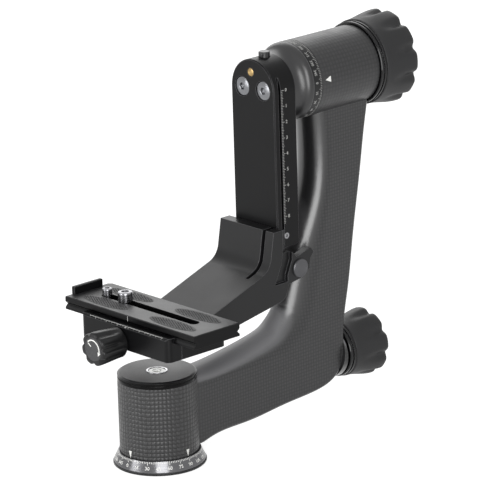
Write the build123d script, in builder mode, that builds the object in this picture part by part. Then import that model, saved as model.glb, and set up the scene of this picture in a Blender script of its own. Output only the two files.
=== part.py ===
from build123d import *
from math import atan2, cos, degrees, radians, sin, sqrt, tan
import os

# Gimbal head for a tripod, in millimetres, +Z up.
# The origin is on the pan axis, at the underside of the base. +X runs along the tilt axis towards
# the tilt knob, and +Y along the lens plate towards its lip.

os.makedirs("parts", exist_ok=True)

# ---- Clearances ----
gap = 0.3  # between pieces that move past each other
running = 0.05  # radial play of a shaft in its bearing or bush
seat = 0.02  # play of pieces that are glued or screwed together

# ---- Pan base ----
rim_reach = 4.3  # from the barrel out to the rim
rim_height = 1.5
rim_chamfer = 0.5
ring_foot_inset = 0.5  # from the rim in to the ring's foot
ring_foot_height = 0.7
ring_top_reach = 1.0  # from the barrel out to the ring's top edge
ring_top_z = 8.3
deck_z = 6.6
thread_radius = 4.0  # minor radius of the 3/8 inch tripod thread
thread_depth = 12.0
thread_boss_radius = 8.0
thread_boss_cover = 1.6
base_screw_radius = 1.5
base_screw_head_radius = 2.9
base_screw_circle_radius = 11.6
base_screw_count = 4
spindle_radius = 10.5
spindle_flange_radius = 15.0
spindle_flange_thickness = 4.0
bearing_width = 7.0
bearing_radial = 5.4  # from the inner to the outer face of a bearing
bearing_share = 6 / 11  # of the space from the spindle to the barrel's bore, and the liner takes the rest
bearing_play = 0.03  # from a bearing's nominal outer face to its liner
nut_height = 3.2
nut_radius = 14.0

# ---- Arm ----
barrel_radius = 24.4  # of the base barrel
barrel_bottom_z = 7.3
barrel_top_z = 54.0
barrel_wall = 4.0
liner_rib = 1.5  # step that parts the two bearings
arm_half_width = 13.4
arm_edge_radius = 2.0
heel_corner = (140.1, 18.2)  # where the underside and the back would meet
underside_rise = 4.5  # degrees above level
back_lean = 9.75  # degrees off upright
heel_radius = 17.0
knee_corner = (116.6, 47.5)  # where the two inner lines would meet
top_line_rise = 1.7  # degrees above level
shin_lean = 11.25  # degrees off upright
knee_radius = 40.0
crown_leg = 9.2  # how far the rounded inside stands off the flanks
crown_knee = 20.6
crown_shoulder = 12.0
crown_settle = 0.5  # share of the shin over which the crown settles to its shoulder height
crown_swell_start = 0.4  # share of the leg where the crown starts to grow
crown_swell_at_knee = 0.56  # share of the growth reached where the knee starts
shoulder_reach = 80.0  # below the tilt axis, where the inside starts to swing forward
shoulder_swing = 20.0

# ---- Base cap and level ----
cap_height = 4.3
cap_chamfer = 0.8
cap_chamfer_run = 1.3
cap_groove_z = 1.7
cap_groove_width = 0.9
cap_groove_depth = 0.6
cap_spigot = 0.6
level_radius = 6.5
level_wall = 1.1
level_depth = 3.2
level_proud = 0.3
vial_floor = 0.8
vial_chamfer = 0.4

# ---- Pan lock ----
lock_z = 34.4
lock_travel = 0.8
lock_rod_radius = 3.0
lock_stud_radius = 4.0
lock_stud_start = 2.0  # inside the inner end of the bush
lock_stud_grip = 12.0  # into the knob
shoe_radius = 5.2
boss_end_x = 146.3  # outer face of the boss on the arm's heel
boss_radius = 16.3
boss_root_radius = 13.3  # where the boss runs into the arm
boss_root_length = 24.0
boss_chamfer = 0.6
bush_flange_radius = 11.0
bush_flange_thickness = 2.0
bush_radius = 7.0
bush_length = 25.8
pan_collar_radius = 17.4
pan_collar_length = 4.8
pan_grip_length = 25.0
pan_grip_foot_radius = 17.9
pan_grip_crest = 21.4
pan_grip_flute = 1.8
pan_grip_lobes = 8
pan_grip_phase = 103.0
pan_cap_radius = 11.5

# ---- Tilt axis ----
tilt_z = 217.5
tilt_barrel_radius = 24.4
tilt_barrel_front = 121.7
tilt_barrel_length = 48.9
tilt_ring_width = 6.9
tilt_spindle_radius = 8.0
tilt_flange_radius = 14.0
tilt_flange_thickness = 4.0
hub_foot_radius = 18.6
hub_rim_radius = 24.4
hub_bend_share = 0.6  # where the flare turns from hollow to full
hub_spigot_radius = 18.0
tilt_tail = 13.0  # spindle beyond the barrel
tilt_nut_height = 3.4
tilt_nut_radius = 13.0
tilt_collar_radius = 26.4
tilt_collar_length = 4.4
tilt_grip_length = 24.4
tilt_grip_foot_radius = 27.0
tilt_grip_crest = 29.6
tilt_grip_flute = 2.1
tilt_grip_lobes = 10
tilt_grip_phase = 88.5
tilt_cap_radius = 17.0
tilt_insert_radius = 12.0
tilt_insert_length = 15.0
grip_cutter = 0.24  # radius of the flute cutter, as a share of the grip's radius
collar_groove_width = 1.0
collar_groove_depth = 0.9
collar_step = 0.3  # the ring next to the arm is this much smaller
collar_bevel = 0.5
cap_thickness = 1.6
cap_bevel = 0.4
grip_foot_flute = 0.15
grip_edge = 1.7
grip_edge_drop = 1.1
stud_bevel = 0.8

# ---- Swing rail ----
rail_front = 85.5
rail_flange_thickness = 3.8
rail_groove_width = 1.9
rail_groove_depth = 2.6
rail_depth = 17.8
rail_half_width = 19.2
rail_foot_z = 98.0
rail_rear_foot_z = 119.5
rail_edge_chamfer = 0.7
rail_corner_radius = 3.0
rail_screw_head_radius = 6.2
rail_screw_head_height = 4.6
rail_screw_radius = 3.0
rail_screw_reach = 9.5  # into the hub
rail_screw_y = 9.3
rail_screw_rise = 0.8  # above the tilt axis
socket_radius = 2.0
socket_depth = 2.4
brass_pin_radius = 2.8
brass_pin_length = 5.2
brass_pin_y = 1.5
brass_pin_rise = 10.9
brass_slot_depth = 1.2
brass_slot_radius = 1.1
button_radius = 3.5
button_x = 96.0
button_length = 10.0
button_proud = 3.2
button_travel = 1.5
button_rim = 0.4
stop_screw_radius = 1.9
stop_screw_z = 126.6
stop_screw_length = 5.0
stop_socket_depth = 1.2
stop_socket_radius = 0.85

# ---- Carriage bracket ----
bracket_half_width = 24.1
plate_top = (77.7, 132.8)  # front top edge of the upright plate
plate_bend = (73.6, 109.4)  # where its front face and the shelf would meet
plate_back_gap = 0.4
bend_radius = 12.0
shelf_drop = 19.5  # degrees below level, from the bend to the clamp
underside_far = (86.4, 88.1)  # where the underside and the back would meet
back_low = (89.1, 97.2)
back_radius = 7.0
lug_outline = ((100.8, 99.2), (106.9, 103.6), (108.0, 110.0), (110.8, 113.4), (108.3, 117.0), (96.8, 113.2))
lug_radius = 1.2
web_top_z = 117.3
hook_foot_z = 97.2
lip_top_z = 131.0
pocket_depth = 2.6
pocket_floor = (77.6, 99.0)
pocket_front = (83.4, 111.0)
pocket_lug = ((88.4, 99.0), (88.6, 103.4), (92.4, 112.4), (92.4, 120.0))
slit_width = 3.0
slit_y = -15.5
slit_end_x = 62.0
lug_axis = (98.8, 105.6)
plug_radius = 5.8
plug_proud = 1.2
plug_bevel = 0.6
pad_thickness = 1.5
pad_size = (12.4, 8.0)
height_screw_radius = 4.0
height_knob_radius = 7.0
height_knob_length = 6.8
height_knob_flute = 0.7
height_knob_lobes = 6
height_knob_edge = 1.0
height_knob_cutter = 2.4

# ---- Quick-release clamp ----
clamp_half_width = 23.5
clamp_ends = (-38.0, 42.0)
clamp_bottom_z = 77.0
clamp_floor_z = 88.2
clamp_jaw_top_z = 92.0
clamp_jaw_bevel = 1.3
clamp_corner_radius = 3.6
jaw_split_x = -12.5
floor_groove_half_width = 6.0
floor_groove_depth = 2.0
foot_end_x = 3.0
foot_top_z = 82.0
clamp_screw_radius = 2.0
clamp_screw_head_radius = 3.6
clamp_screw_length = 10.0
clamp_screw_x = (8.5, 18.5)
clamp_screw_y = 13.0
guide_pin_radius = 2.0
guide_pin_length = 18.0
guide_pin_y = (-24.0, 33.0)
guide_hole_roof = 1.5
clamp_knob_y = 7.5
clamp_knob_z = 80.8
clamp_knob_length = 20.2
clamp_knob_radius = 10.6
clamp_knob_flute = 1.5
clamp_knob_lobes = 7
clamp_knob_phase = 12.0
clamp_knob_foot_drop = 1.2
clamp_knob_swell = 0.25  # share of the knob's length
clamp_knob_cutter = 2.8
clamp_knob_edge = 1.0
clamp_knob_edge_drop = 0.6
clamp_stud_radius = 2.6
clamp_stud_end_x = 0.0

# ---- Lens plate ----
plate_half_width = 18.3
plate_ends = (-56.0, 62.1)
plate_top_z = 96.8
plate_thickness = 8.3
dovetail_flange = 1.3
dovetail_groove = 1.8
plate_corner_cut = 3.0
plate_edge_chamfer = 0.5
slot_ends = (-39.0, 47.4)
slot_half_width = 3.3
screw_channel_half_width = 6.0
slot_web = 3.6  # metal between the underside channel and the top
lip_span = (-12.7, 10.0)
lip_thickness = 2.5
lip_rise = 5.0
lip_seat_depth = 4.0
lip_bevel = 0.4
pad_half_width = 5.4
pad_offset_x = 10.2
pad_spans = ((-47.7, -8.0), (13.6, 52.6))
pad_sink = 0.4
pad_proud = 0.15
camera_screw_shank = 2.5
camera_screw_head_radius = 5.4
camera_screw_head_height = 2.4
washer_thickness = 0.8
stud_tip_bevel = 0.6
driver_slot_width = 1.2
driver_slot_depth = 1.2
big_stud_radius = 4.6
big_stud_height = 6.2
big_stud_y = 26.8
small_stud_radius = 3.1
small_stud_height = 4.8
small_stud_y = 43.6
stop_pin_radius = 1.6
stop_pin_proud = 1.2
stop_pin_inset = 4.0
stop_pin_x = 10.0
stop_pin_roof = 1.0  # metal between a stop pin and the lip seat above it

# ---- Turning axes: local x runs along the axis, local y is the radius ----
pan_axis = Plane(origin=(0, 0, 0), x_dir=(0, 0, 1), z_dir=(0, 1, 0))
tilt_axis = Plane(origin=(0, 0, tilt_z), x_dir=(1, 0, 0), z_dir=(0, -1, 0))
lock_axis = Plane(origin=(0, 0, lock_z), x_dir=(1, 0, 0), z_dir=(0, -1, 0))
clamp_axis = Plane(origin=(0, clamp_knob_y, clamp_knob_z), x_dir=(1, 0, 0), z_dir=(0, -1, 0))
lug_cross_axis = Plane(origin=(lug_axis[0], 0, lug_axis[1]), x_dir=(0, 1, 0), z_dir=(1, 0, 0))


def turn(axis_plane, profile, mode=Mode.ADD):
    """Revolve a closed profile of (place along the axis, radius) points about the axis."""
    with BuildSketch(axis_plane) as section:
        with BuildLine():
            Polyline(*profile, close=True)
        make_face()
    revolve(section.sketch, axis=Axis(axis_plane.origin, axis_plane.x_dir), mode=mode)


def rod(axis_plane, start, end, radius, mode=Mode.ADD):
    """A plain cylinder along a turning axis."""
    turn(axis_plane, [(start, 0), (end, 0), (end, radius), (start, radius)], mode)


def tube(axis_plane, start, end, inner, outer, mode=Mode.ADD):
    """A plain tube along a turning axis."""
    turn(axis_plane, [(start, inner), (end, inner), (end, outer), (start, outer)], mode)


def side_profile(points, near, far, mode=Mode.ADD):
    """Extrude a closed (x, z) outline from y = near to y = far."""
    with BuildSketch(Plane.XZ.offset(-far)) as outline:
        with BuildLine():
            Polyline(*points, close=True)
        make_face()
    extrude(outline.sketch, amount=far - near, mode=mode)


def bearing(axis_plane, start, inner, outer):
    """A closed bearing."""
    tube(axis_plane, start, start + bearing_width, inner, outer)


def fluted_grip(axis_plane, outline, foot_reach, rim_reach, cutter, count, phase):
    """A knob: a turned body, then slanting flutes round it. A reach is (place, radius under the flute)."""
    turn(axis_plane, outline)
    slope = atan2(rim_reach[1] - foot_reach[1], rim_reach[0] - foot_reach[0])
    if rim_reach[0] < foot_reach[0]:
        slope = atan2(foot_reach[1] - rim_reach[1], foot_reach[0] - rim_reach[0])
    centre = axis_plane.origin + axis_plane.x_dir * foot_reach[0]
    sideways = Vector(0, 0, 1).cross(axis_plane.x_dir)
    across = Plane(origin=centre, x_dir=sideways, z_dir=axis_plane.x_dir)
    cutter_length = 4 * abs(rim_reach[0] - foot_reach[0])
    with Locations(across):
        with PolarLocations(foot_reach[1] + cutter / cos(slope), count, start_angle=phase):
            Cylinder(cutter, cutter_length, rotation=(0, degrees(slope), 0), mode=Mode.SUBTRACT)


def eased(start, end, share):
    """Blend from start to end, level at both, as share goes from 0 to 1."""
    share = min(max(share, 0.0), 1.0)
    return start + (end - start) * share * share * (3 - 2 * share)


def finish(part, name):
    """Label a finished piece and write its STEP file."""
    part.label = name
    export_step(part, f"parts/{name}.step")


# ======== Pan base ========
rim_radius = barrel_radius + rim_reach
ring_foot_radius = rim_radius - ring_foot_inset
ring_top_radius = barrel_radius + ring_top_reach
ring_bore = barrel_radius + gap + running
deck_radius = ring_bore - seat
thread_boss_z = thread_depth + thread_boss_cover
flange_top_z = deck_z + spindle_flange_thickness
lower_bearing_z = flange_top_z + gap
upper_bearing_z = barrel_top_z - cap_spigot - gap - nut_height - 2 * gap - bearing_width - gap
nut_z = upper_bearing_z + bearing_width + gap
spindle_top_z = nut_z + nut_height

with BuildPart() as base_plate:
    turn(
        pan_axis,
        [
            (0, 0),
            (0, rim_radius - rim_chamfer),
            (rim_chamfer, rim_radius),
            (rim_height, rim_radius),
            (rim_height, deck_radius),
            (deck_z, deck_radius),
            (deck_z, thread_boss_radius),
            (thread_boss_z, thread_boss_radius),
            (thread_boss_z, 0),
        ],
    )
    rod(pan_axis, 0, thread_depth, thread_radius, Mode.SUBTRACT)
    with Locations(Plane(origin=(0, 0, 0), z_dir=(0, 0, -1))):
        with PolarLocations(base_screw_circle_radius, base_screw_count):
            CounterSinkHole(base_screw_radius + seat, base_screw_head_radius + seat, depth=deck_z)
finish(base_plate.part, "base_plate")

with BuildPart() as pan_scale_ring:
    turn(
        pan_axis,
        [
            (rim_height, ring_bore),
            (rim_height, ring_foot_radius),
            (rim_height + ring_foot_height, ring_foot_radius),
            (ring_top_z, ring_top_radius),
            (ring_top_z, ring_bore),
        ],
    )
finish(pan_scale_ring.part, "pan_scale_ring")

with BuildPart() as pan_spindle:
    turn(
        pan_axis,
        [
            (deck_z, thread_boss_radius + seat),
            (deck_z, spindle_flange_radius),
            (flange_top_z, spindle_flange_radius),
            (flange_top_z, spindle_radius),
            (spindle_top_z, spindle_radius),
            (spindle_top_z, 0),
            (thread_boss_z + seat, 0),
            (thread_boss_z + seat, thread_boss_radius + seat),
        ],
    )
    with Locations(Plane(origin=(0, 0, deck_z), z_dir=(0, 0, -1))):
        with PolarLocations(base_screw_circle_radius, base_screw_count):
            Hole(base_screw_radius + seat, depth=spindle_flange_thickness)
finish(pan_spindle.part, "pan_spindle")

with BuildPart() as base_screws:
    with PolarLocations(base_screw_circle_radius, base_screw_count):
        shank = flange_top_z - 2 * running
        Cylinder(base_screw_radius, shank, align=(Align.CENTER, Align.CENTER, Align.MIN))
        Cone(
            base_screw_head_radius,
            base_screw_radius,
            base_screw_head_radius - base_screw_radius,
            align=(Align.CENTER, Align.CENTER, Align.MIN),
        )
finish(base_screws.part, "base_screws")

with BuildPart() as pan_retaining_nut:
    tube(pan_axis, nut_z, nut_z + nut_height, spindle_radius + seat, nut_radius)
finish(pan_retaining_nut.part, "pan_retaining_nut")

# ======== Arm ========
base_bore = barrel_radius - barrel_wall
liner_outer = base_bore - seat
bearing_outer = spindle_radius + running + bearing_share * (base_bore - spindle_radius)
liner_inner = bearing_outer + bearing_play
tilt_bore = tilt_barrel_radius - barrel_wall
tilt_liner_outer = tilt_bore - seat
tilt_liner_inner = tilt_spindle_radius + running + bearing_radial + 2 * seat
tilt_barrel_back = tilt_barrel_front + tilt_barrel_length
cap_top_z = barrel_top_z + cap_height
bush_start_x = boss_end_x - bush_length
bush_flange_x = boss_end_x - bush_flange_thickness
stud_start_x = bush_start_x + lock_stud_start


def flat(point):
    """A place on the side view, as (x, z)."""
    return Vector(point[0], point[1], 0)


def heading(degrees):
    """A direction on the side view, turned up from +X."""
    return Vector(cos(radians(degrees)), sin(radians(degrees)), 0)


def reach_to_line(start, ray, point, run):
    """Distance from start along the ray to the line through point that runs along run."""
    return (point - start).cross(run).Z / ray.cross(run).Z


leg_run = heading(top_line_rise)
shin_run = heading(90 - shin_lean)
under_run = heading(underside_rise)
back_run = heading(90 - back_lean)
heel = flat(heel_corner)
heel_turn = 90 - back_lean - underside_rise
heel_tangent = heel_radius * tan(radians(heel_turn / 2))
heel_centre = heel - under_run * heel_tangent + heading(underside_rise + 90) * heel_radius
knee = flat(knee_corner)
knee_turn = 90 - shin_lean - top_line_rise
knee_tangent = knee_radius * tan(radians(knee_turn / 2))
knee_start = knee - leg_run * knee_tangent
knee_end = knee + shin_run * knee_tangent
knee_centre = knee_start + heading(top_line_rise + 90) * knee_radius


def outer_point(inner, ray):
    """Where a ray from the inner line meets the underside, the rounded heel or the back."""
    reach = min(
        distance
        for distance in (
            reach_to_line(inner, ray, heel, under_run),
            reach_to_line(inner, ray, heel, back_run),
        )
        if distance > 0
    )
    hit = inner + ray * reach
    if (hit - heel).length < heel_tangent:
        to_centre = heel_centre - inner
        along = to_centre.dot(ray)
        hit = inner + ray * (along + sqrt(heel_radius**2 - to_centre.dot(to_centre) + along**2))
    return hit


def arm_slice(inner, ray, crown):
    """D-shaped slice: a flat outside, straight flanks and a rounded inside."""
    near_tilt = max(0, 1 - (tilt_z - inner.Y) / shoulder_reach)
    half_width = arm_half_width
    outer = outer_point(inner, ray)
    inner = inner - ray * shoulder_swing * near_tilt**2
    depth = (inner - outer).length
    edge = arm_edge_radius
    place = Plane(origin=(outer.X, 0, outer.Y), x_dir=(-ray.X, 0, -ray.Y), z_dir=(ray.Y, 0, -ray.X))
    with BuildSketch(place) as outline:
        with BuildLine():
            Line((0, edge - half_width), (0, half_width - edge))
            CenterArc((edge, half_width - edge), edge, 180, -90)
            Line((edge, half_width), (depth, half_width))
            EllipticalCenterArc((depth, 0), crown, half_width, start_angle=90, arc_size=-180)
            Line((depth, -half_width), (edge, -half_width))
            CenterArc((edge, edge - half_width), edge, 270, -90)
        make_face()
    return outline.sketch


# Slices across the lower leg, round the knee and up the shin.
arm_slices = []
leg_ray = heading(top_line_rise - 90)
for share in (0.12, 0.36, 0.66):
    leg_point = knee_start + leg_run * (share - 1) * knee_start.X
    swell = crown_swell_at_knee * (share - crown_swell_start) / (1 - crown_swell_start)
    arm_slices.append(arm_slice(leg_point, leg_ray, eased(crown_leg, crown_knee, swell)))
for share in (0.0, 0.25, 0.5, 0.75, 1.0):
    knee_ray = heading(top_line_rise - 90 + knee_turn * share)
    knee_point = knee_centre + knee_ray * knee_radius
    swell = crown_swell_at_knee + (1 - crown_swell_at_knee) * share
    arm_slices.append(arm_slice(knee_point, knee_ray, eased(crown_leg, crown_knee, swell)))
shin_ray = heading(-shin_lean)
shin_length = (tilt_z - knee_end.Y) / shin_run.Y
for share in (0.22, 0.44, 0.64, 0.8, 0.91):
    shin_point = knee_end + shin_run * shin_length * share
    crown = eased(crown_knee, crown_shoulder, share / crown_settle)
    arm_slices.append(arm_slice(shin_point, shin_ray, crown))

with BuildPart() as l_arm:
    # The boss stands on the slanting back, and a narrower root carries it into the arm.
    rod(lock_axis, boss_end_x - boss_root_length, boss_end_x, boss_radius)
    chamfer(l_arm.edges().group_by(Axis.X)[-1], boss_chamfer)
    back_foot = heel - back_run * heel_corner[1]
    back_head = heel + back_run * heel_corner[1] * 2
    side_profile(
        [(0, back_foot.Y), (back_foot.X, back_foot.Y), (back_head.X, back_head.Y), (0, back_head.Y)],
        -boss_radius,
        boss_radius,
        Mode.SUBTRACT,
    )
    rod(lock_axis, boss_end_x - boss_root_length, boss_end_x - boss_chamfer, boss_root_radius)
    loft(arm_slices)
    rod(pan_axis, 0, cap_top_z + crown_leg, barrel_radius + seat, Mode.SUBTRACT)
    tube(pan_axis, 0, ring_top_z + gap, barrel_radius, rim_radius + gap, Mode.SUBTRACT)
    rod(tilt_axis, 0, tilt_barrel_front, 2 * tilt_barrel_radius, Mode.SUBTRACT)
    rod(tilt_axis, tilt_barrel_front, tilt_barrel_back, tilt_barrel_radius + seat, Mode.SUBTRACT)
    rod(tilt_axis, tilt_barrel_back, 2 * tilt_barrel_back, 2 * tilt_barrel_radius, Mode.SUBTRACT)
    rod(lock_axis, 0, bush_start_x, lock_rod_radius + gap, Mode.SUBTRACT)
    rod(lock_axis, bush_start_x - seat, boss_end_x, bush_radius + seat, Mode.SUBTRACT)
    rod(lock_axis, bush_flange_x - seat, boss_end_x, bush_flange_radius + seat, Mode.SUBTRACT)
finish(l_arm.part, "l_arm")

with BuildPart() as base_barrel:
    tube(pan_axis, barrel_bottom_z, barrel_top_z, base_bore, barrel_radius)
    rod(lock_axis, 0, barrel_radius, shoe_radius + gap, Mode.SUBTRACT)
finish(base_barrel.part, "base_barrel")

with BuildPart() as tilt_barrel:
    tube(tilt_axis, tilt_barrel_front, tilt_barrel_back, tilt_bore, tilt_barrel_radius)
finish(tilt_barrel.part, "tilt_barrel")

with BuildPart() as base_liner:
    tube(pan_axis, barrel_bottom_z + gap, barrel_top_z - cap_spigot - seat, liner_inner, liner_outer)
    tube(
        pan_axis,
        lower_bearing_z + bearing_width + seat,
        upper_bearing_z - seat,
        bearing_outer - liner_rib,
        liner_outer,
    )
    rod(lock_axis, 0, barrel_radius, shoe_radius + gap, Mode.SUBTRACT)
finish(base_liner.part, "base_liner")

with BuildPart() as pan_lower_bearing:
    bearing(pan_axis, lower_bearing_z, spindle_radius + running, liner_inner - seat)
finish(pan_lower_bearing.part, "pan_lower_bearing")

with BuildPart() as pan_upper_bearing:
    bearing(pan_axis, upper_bearing_z, spindle_radius + running, liner_inner - seat)
finish(pan_upper_bearing.part, "pan_upper_bearing")

groove_low_z = barrel_top_z + cap_groove_z
level_floor_z = cap_top_z - level_depth
with BuildPart() as base_cap:
    turn(
        pan_axis,
        [
            (barrel_top_z - cap_spigot, 0),
            (barrel_top_z - cap_spigot, base_bore - seat),
            (barrel_top_z, base_bore - seat),
            (barrel_top_z, barrel_radius),
            (groove_low_z, barrel_radius),
            (groove_low_z, barrel_radius - cap_groove_depth),
            (groove_low_z + cap_groove_width, barrel_radius - cap_groove_depth),
            (groove_low_z + cap_groove_width, barrel_radius),
            (cap_top_z - cap_chamfer, barrel_radius),
            (cap_top_z, barrel_radius - cap_chamfer_run),
            (cap_top_z, level_radius + seat),
            (level_floor_z, level_radius + seat),
            (level_floor_z, 0),
        ],
    )
finish(base_cap.part, "base_cap")

with BuildPart() as level_housing:
    turn(
        pan_axis,
        [
            (level_floor_z, 0),
            (level_floor_z, level_radius),
            (cap_top_z + level_proud, level_radius),
            (cap_top_z + level_proud, level_radius - level_wall),
            (level_floor_z + vial_floor, level_radius - level_wall),
            (level_floor_z + vial_floor, 0),
        ],
    )
finish(level_housing.part, "level_housing")

with BuildPart() as level_vial:
    vial_radius = level_radius - level_wall - seat
    rod(pan_axis, level_floor_z + vial_floor, cap_top_z, vial_radius)
    chamfer(level_vial.edges().group_by(Axis.Z)[-1], vial_chamfer)
finish(level_vial.part, "level_vial")

# ======== Pan lock ========
with BuildPart() as pan_lock_bush:
    rod(lock_axis, bush_flange_x, boss_end_x, bush_flange_radius)
    rod(lock_axis, bush_start_x, boss_end_x, bush_radius)
    rod(lock_axis, 0, boss_end_x, lock_stud_radius + running, Mode.SUBTRACT)
finish(pan_lock_bush.part, "pan_lock_bush")

shoe_back_x = base_bore + running
with BuildPart() as pan_brake_shoe:
    rod(lock_axis, 0, shoe_back_x, shoe_radius)
    rod(pan_axis, 0, barrel_top_z, spindle_radius + lock_travel + gap, Mode.SUBTRACT)
finish(pan_brake_shoe.part, "pan_brake_shoe")

with BuildPart() as pan_lock_rod:
    rod(lock_axis, shoe_back_x, stud_start_x - gap, lock_rod_radius)
finish(pan_lock_rod.part, "pan_lock_rod")


def ringed_collar(axis_plane, start, length, radius, bore):
    """A knob's collar: two polished rings with a groove between them."""
    half = start + length / 2
    turn(
        axis_plane,
        [
            (start, bore),
            (start + length, bore),
            (start + length, radius),
            (half + collar_groove_width / 2, radius),
            (half + collar_groove_width / 2, radius - collar_groove_depth),
            (half - collar_groove_width / 2, radius - collar_groove_depth),
            (half - collar_groove_width / 2, radius - collar_step),
            (start + collar_bevel, radius - collar_step),
            (start, radius - collar_step - collar_bevel),
        ],
    )


def lock_grip(axis_plane, start, end, foot, crest, flute, count, phase):
    """The grip of a lock knob: it swells outward while its flutes deepen."""
    outline = [(start, 0), (start, foot), (end - grip_edge, crest), (end, crest - grip_edge_drop), (end, 0)]
    foot_reach = (start, foot - grip_foot_flute)
    fluted_grip(axis_plane, outline, foot_reach, (end, crest - flute), crest * grip_cutter, count, phase)


pan_collar_x = boss_end_x + lock_travel + gap
pan_grip_x = pan_collar_x + pan_collar_length
pan_grip_end = pan_grip_x + pan_grip_length
with BuildPart() as pan_knob_collar:
    ringed_collar(lock_axis, pan_collar_x, pan_collar_length, pan_collar_radius, lock_stud_radius + seat)
finish(pan_knob_collar.part, "pan_knob_collar")

with BuildPart() as pan_knob_grip:
    lock_grip(
        lock_axis,
        pan_grip_x,
        pan_grip_end,
        pan_grip_foot_radius,
        pan_grip_crest,
        pan_grip_flute,
        pan_grip_lobes,
        pan_grip_phase,
    )
    rod(lock_axis, pan_grip_x, pan_grip_x + lock_stud_grip + seat, lock_stud_radius + seat, Mode.SUBTRACT)
    rod(lock_axis, pan_grip_end - cap_thickness, pan_grip_end, pan_cap_radius + seat, Mode.SUBTRACT)
finish(pan_knob_grip.part, "pan_knob_grip")

with BuildPart() as pan_knob_screw:
    rod(lock_axis, stud_start_x, pan_grip_x + lock_stud_grip, lock_stud_radius)
finish(pan_knob_screw.part, "pan_knob_screw")

with BuildPart() as pan_knob_cap:
    rod(lock_axis, pan_grip_end - cap_thickness, pan_grip_end, pan_cap_radius)
    chamfer(pan_knob_cap.edges().group_by(Axis.X)[-1], cap_bevel)
finish(pan_knob_cap.part, "pan_knob_cap")

# ======== Tilt axis ========
ring_end_x = tilt_barrel_front - gap
hub_end_x = ring_end_x - tilt_ring_width
rail_back = rail_front + rail_depth
spigot_end_x = ring_end_x - running
flange_x = spigot_end_x - tilt_flange_thickness
front_bearing_x = tilt_barrel_front + 2 * gap
rear_bearing_x = tilt_barrel_back - gap - tilt_nut_height - gap - bearing_width
tilt_nut_x = rear_bearing_x + bearing_width + gap
tilt_spindle_end = tilt_barrel_back + tilt_tail

with BuildPart() as tilt_hub:
    with BuildSketch(tilt_axis) as hub_profile:
        with BuildLine():
            Polyline(
                (rail_back, hub_foot_radius),
                (rail_back, 0),
                (flange_x, 0),
                (flange_x, tilt_flange_radius + seat),
                (spigot_end_x, tilt_flange_radius + seat),
                (spigot_end_x, hub_spigot_radius),
                (hub_end_x, hub_spigot_radius),
                (hub_end_x, hub_rim_radius),
            )
            hub_bend = (
                rail_back + hub_bend_share * (hub_end_x - rail_back),
                hub_foot_radius + hub_bend_share * (hub_rim_radius - hub_foot_radius),
            )
            TangentArc((rail_back, hub_foot_radius), hub_bend, tangent=(1, 0))
            TangentArc((hub_end_x, hub_rim_radius), hub_bend, tangent=(-1, 0))
        make_face()
    revolve(axis=Axis(tilt_axis.origin, tilt_axis.x_dir))
    screw_face = Plane(origin=(rail_back, 0, tilt_z + rail_screw_rise), x_dir=(0, 1, 0), z_dir=(-1, 0, 0))
    with Locations(screw_face):
        with Locations((-rail_screw_y, 0), (rail_screw_y, 0)):
            Hole(rail_screw_radius + seat, depth=rail_screw_reach + seat)
finish(tilt_hub.part, "tilt_hub")

with BuildPart() as tilt_scale_ring:
    tube(tilt_axis, hub_end_x, ring_end_x, hub_spigot_radius + seat, hub_rim_radius)
finish(tilt_scale_ring.part, "tilt_scale_ring")

with BuildPart() as tilt_spindle:
    rod(tilt_axis, flange_x, spigot_end_x, tilt_flange_radius)
    rod(tilt_axis, spigot_end_x, tilt_spindle_end, tilt_spindle_radius)
    chamfer(tilt_spindle.edges().group_by(Axis.X)[-1], stud_bevel)
finish(tilt_spindle.part, "tilt_spindle")

with BuildPart() as tilt_retaining_nut:
    tube(tilt_axis, tilt_nut_x, tilt_nut_x + tilt_nut_height, tilt_spindle_radius + seat, tilt_nut_radius)
finish(tilt_retaining_nut.part, "tilt_retaining_nut")

with BuildPart() as tilt_liner:
    tube(tilt_axis, tilt_barrel_front, tilt_barrel_back, tilt_liner_inner, tilt_liner_outer)
    rib_start_x = front_bearing_x + bearing_width + seat
    tube(tilt_axis, rib_start_x, rear_bearing_x - seat, tilt_liner_inner - liner_rib, tilt_liner_outer)
finish(tilt_liner.part, "tilt_liner")

with BuildPart() as tilt_front_bearing:
    bearing(tilt_axis, front_bearing_x, tilt_spindle_radius + running, tilt_liner_inner - seat)
finish(tilt_front_bearing.part, "tilt_front_bearing")

with BuildPart() as tilt_rear_bearing:
    bearing(tilt_axis, rear_bearing_x, tilt_spindle_radius + running, tilt_liner_inner - seat)
finish(tilt_rear_bearing.part, "tilt_rear_bearing")

tilt_collar_x = tilt_barrel_back + gap
tilt_grip_x = tilt_collar_x + tilt_collar_length
tilt_grip_end = tilt_grip_x + tilt_grip_length
with BuildPart() as tilt_knob_collar:
    ringed_collar(tilt_axis, tilt_collar_x, tilt_collar_length, tilt_collar_radius, tilt_spindle_radius + gap)
finish(tilt_knob_collar.part, "tilt_knob_collar")

with BuildPart() as tilt_knob_grip:
    lock_grip(
        tilt_axis,
        tilt_grip_x,
        tilt_grip_end,
        tilt_grip_foot_radius,
        tilt_grip_crest,
        tilt_grip_flute,
        tilt_grip_lobes,
        tilt_grip_phase,
    )
    insert_end_x = tilt_grip_x + tilt_insert_length
    rod(tilt_axis, tilt_grip_x, insert_end_x + seat, tilt_insert_radius + seat, Mode.SUBTRACT)
    rod(tilt_axis, tilt_grip_end - cap_thickness, tilt_grip_end, tilt_cap_radius + seat, Mode.SUBTRACT)
finish(tilt_knob_grip.part, "tilt_knob_grip")

with BuildPart() as tilt_knob_insert:
    rod(tilt_axis, tilt_grip_x, insert_end_x, tilt_insert_radius)
    rod(tilt_axis, tilt_grip_x, tilt_spindle_end + gap, tilt_spindle_radius + running, Mode.SUBTRACT)
finish(tilt_knob_insert.part, "tilt_knob_insert")

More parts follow.
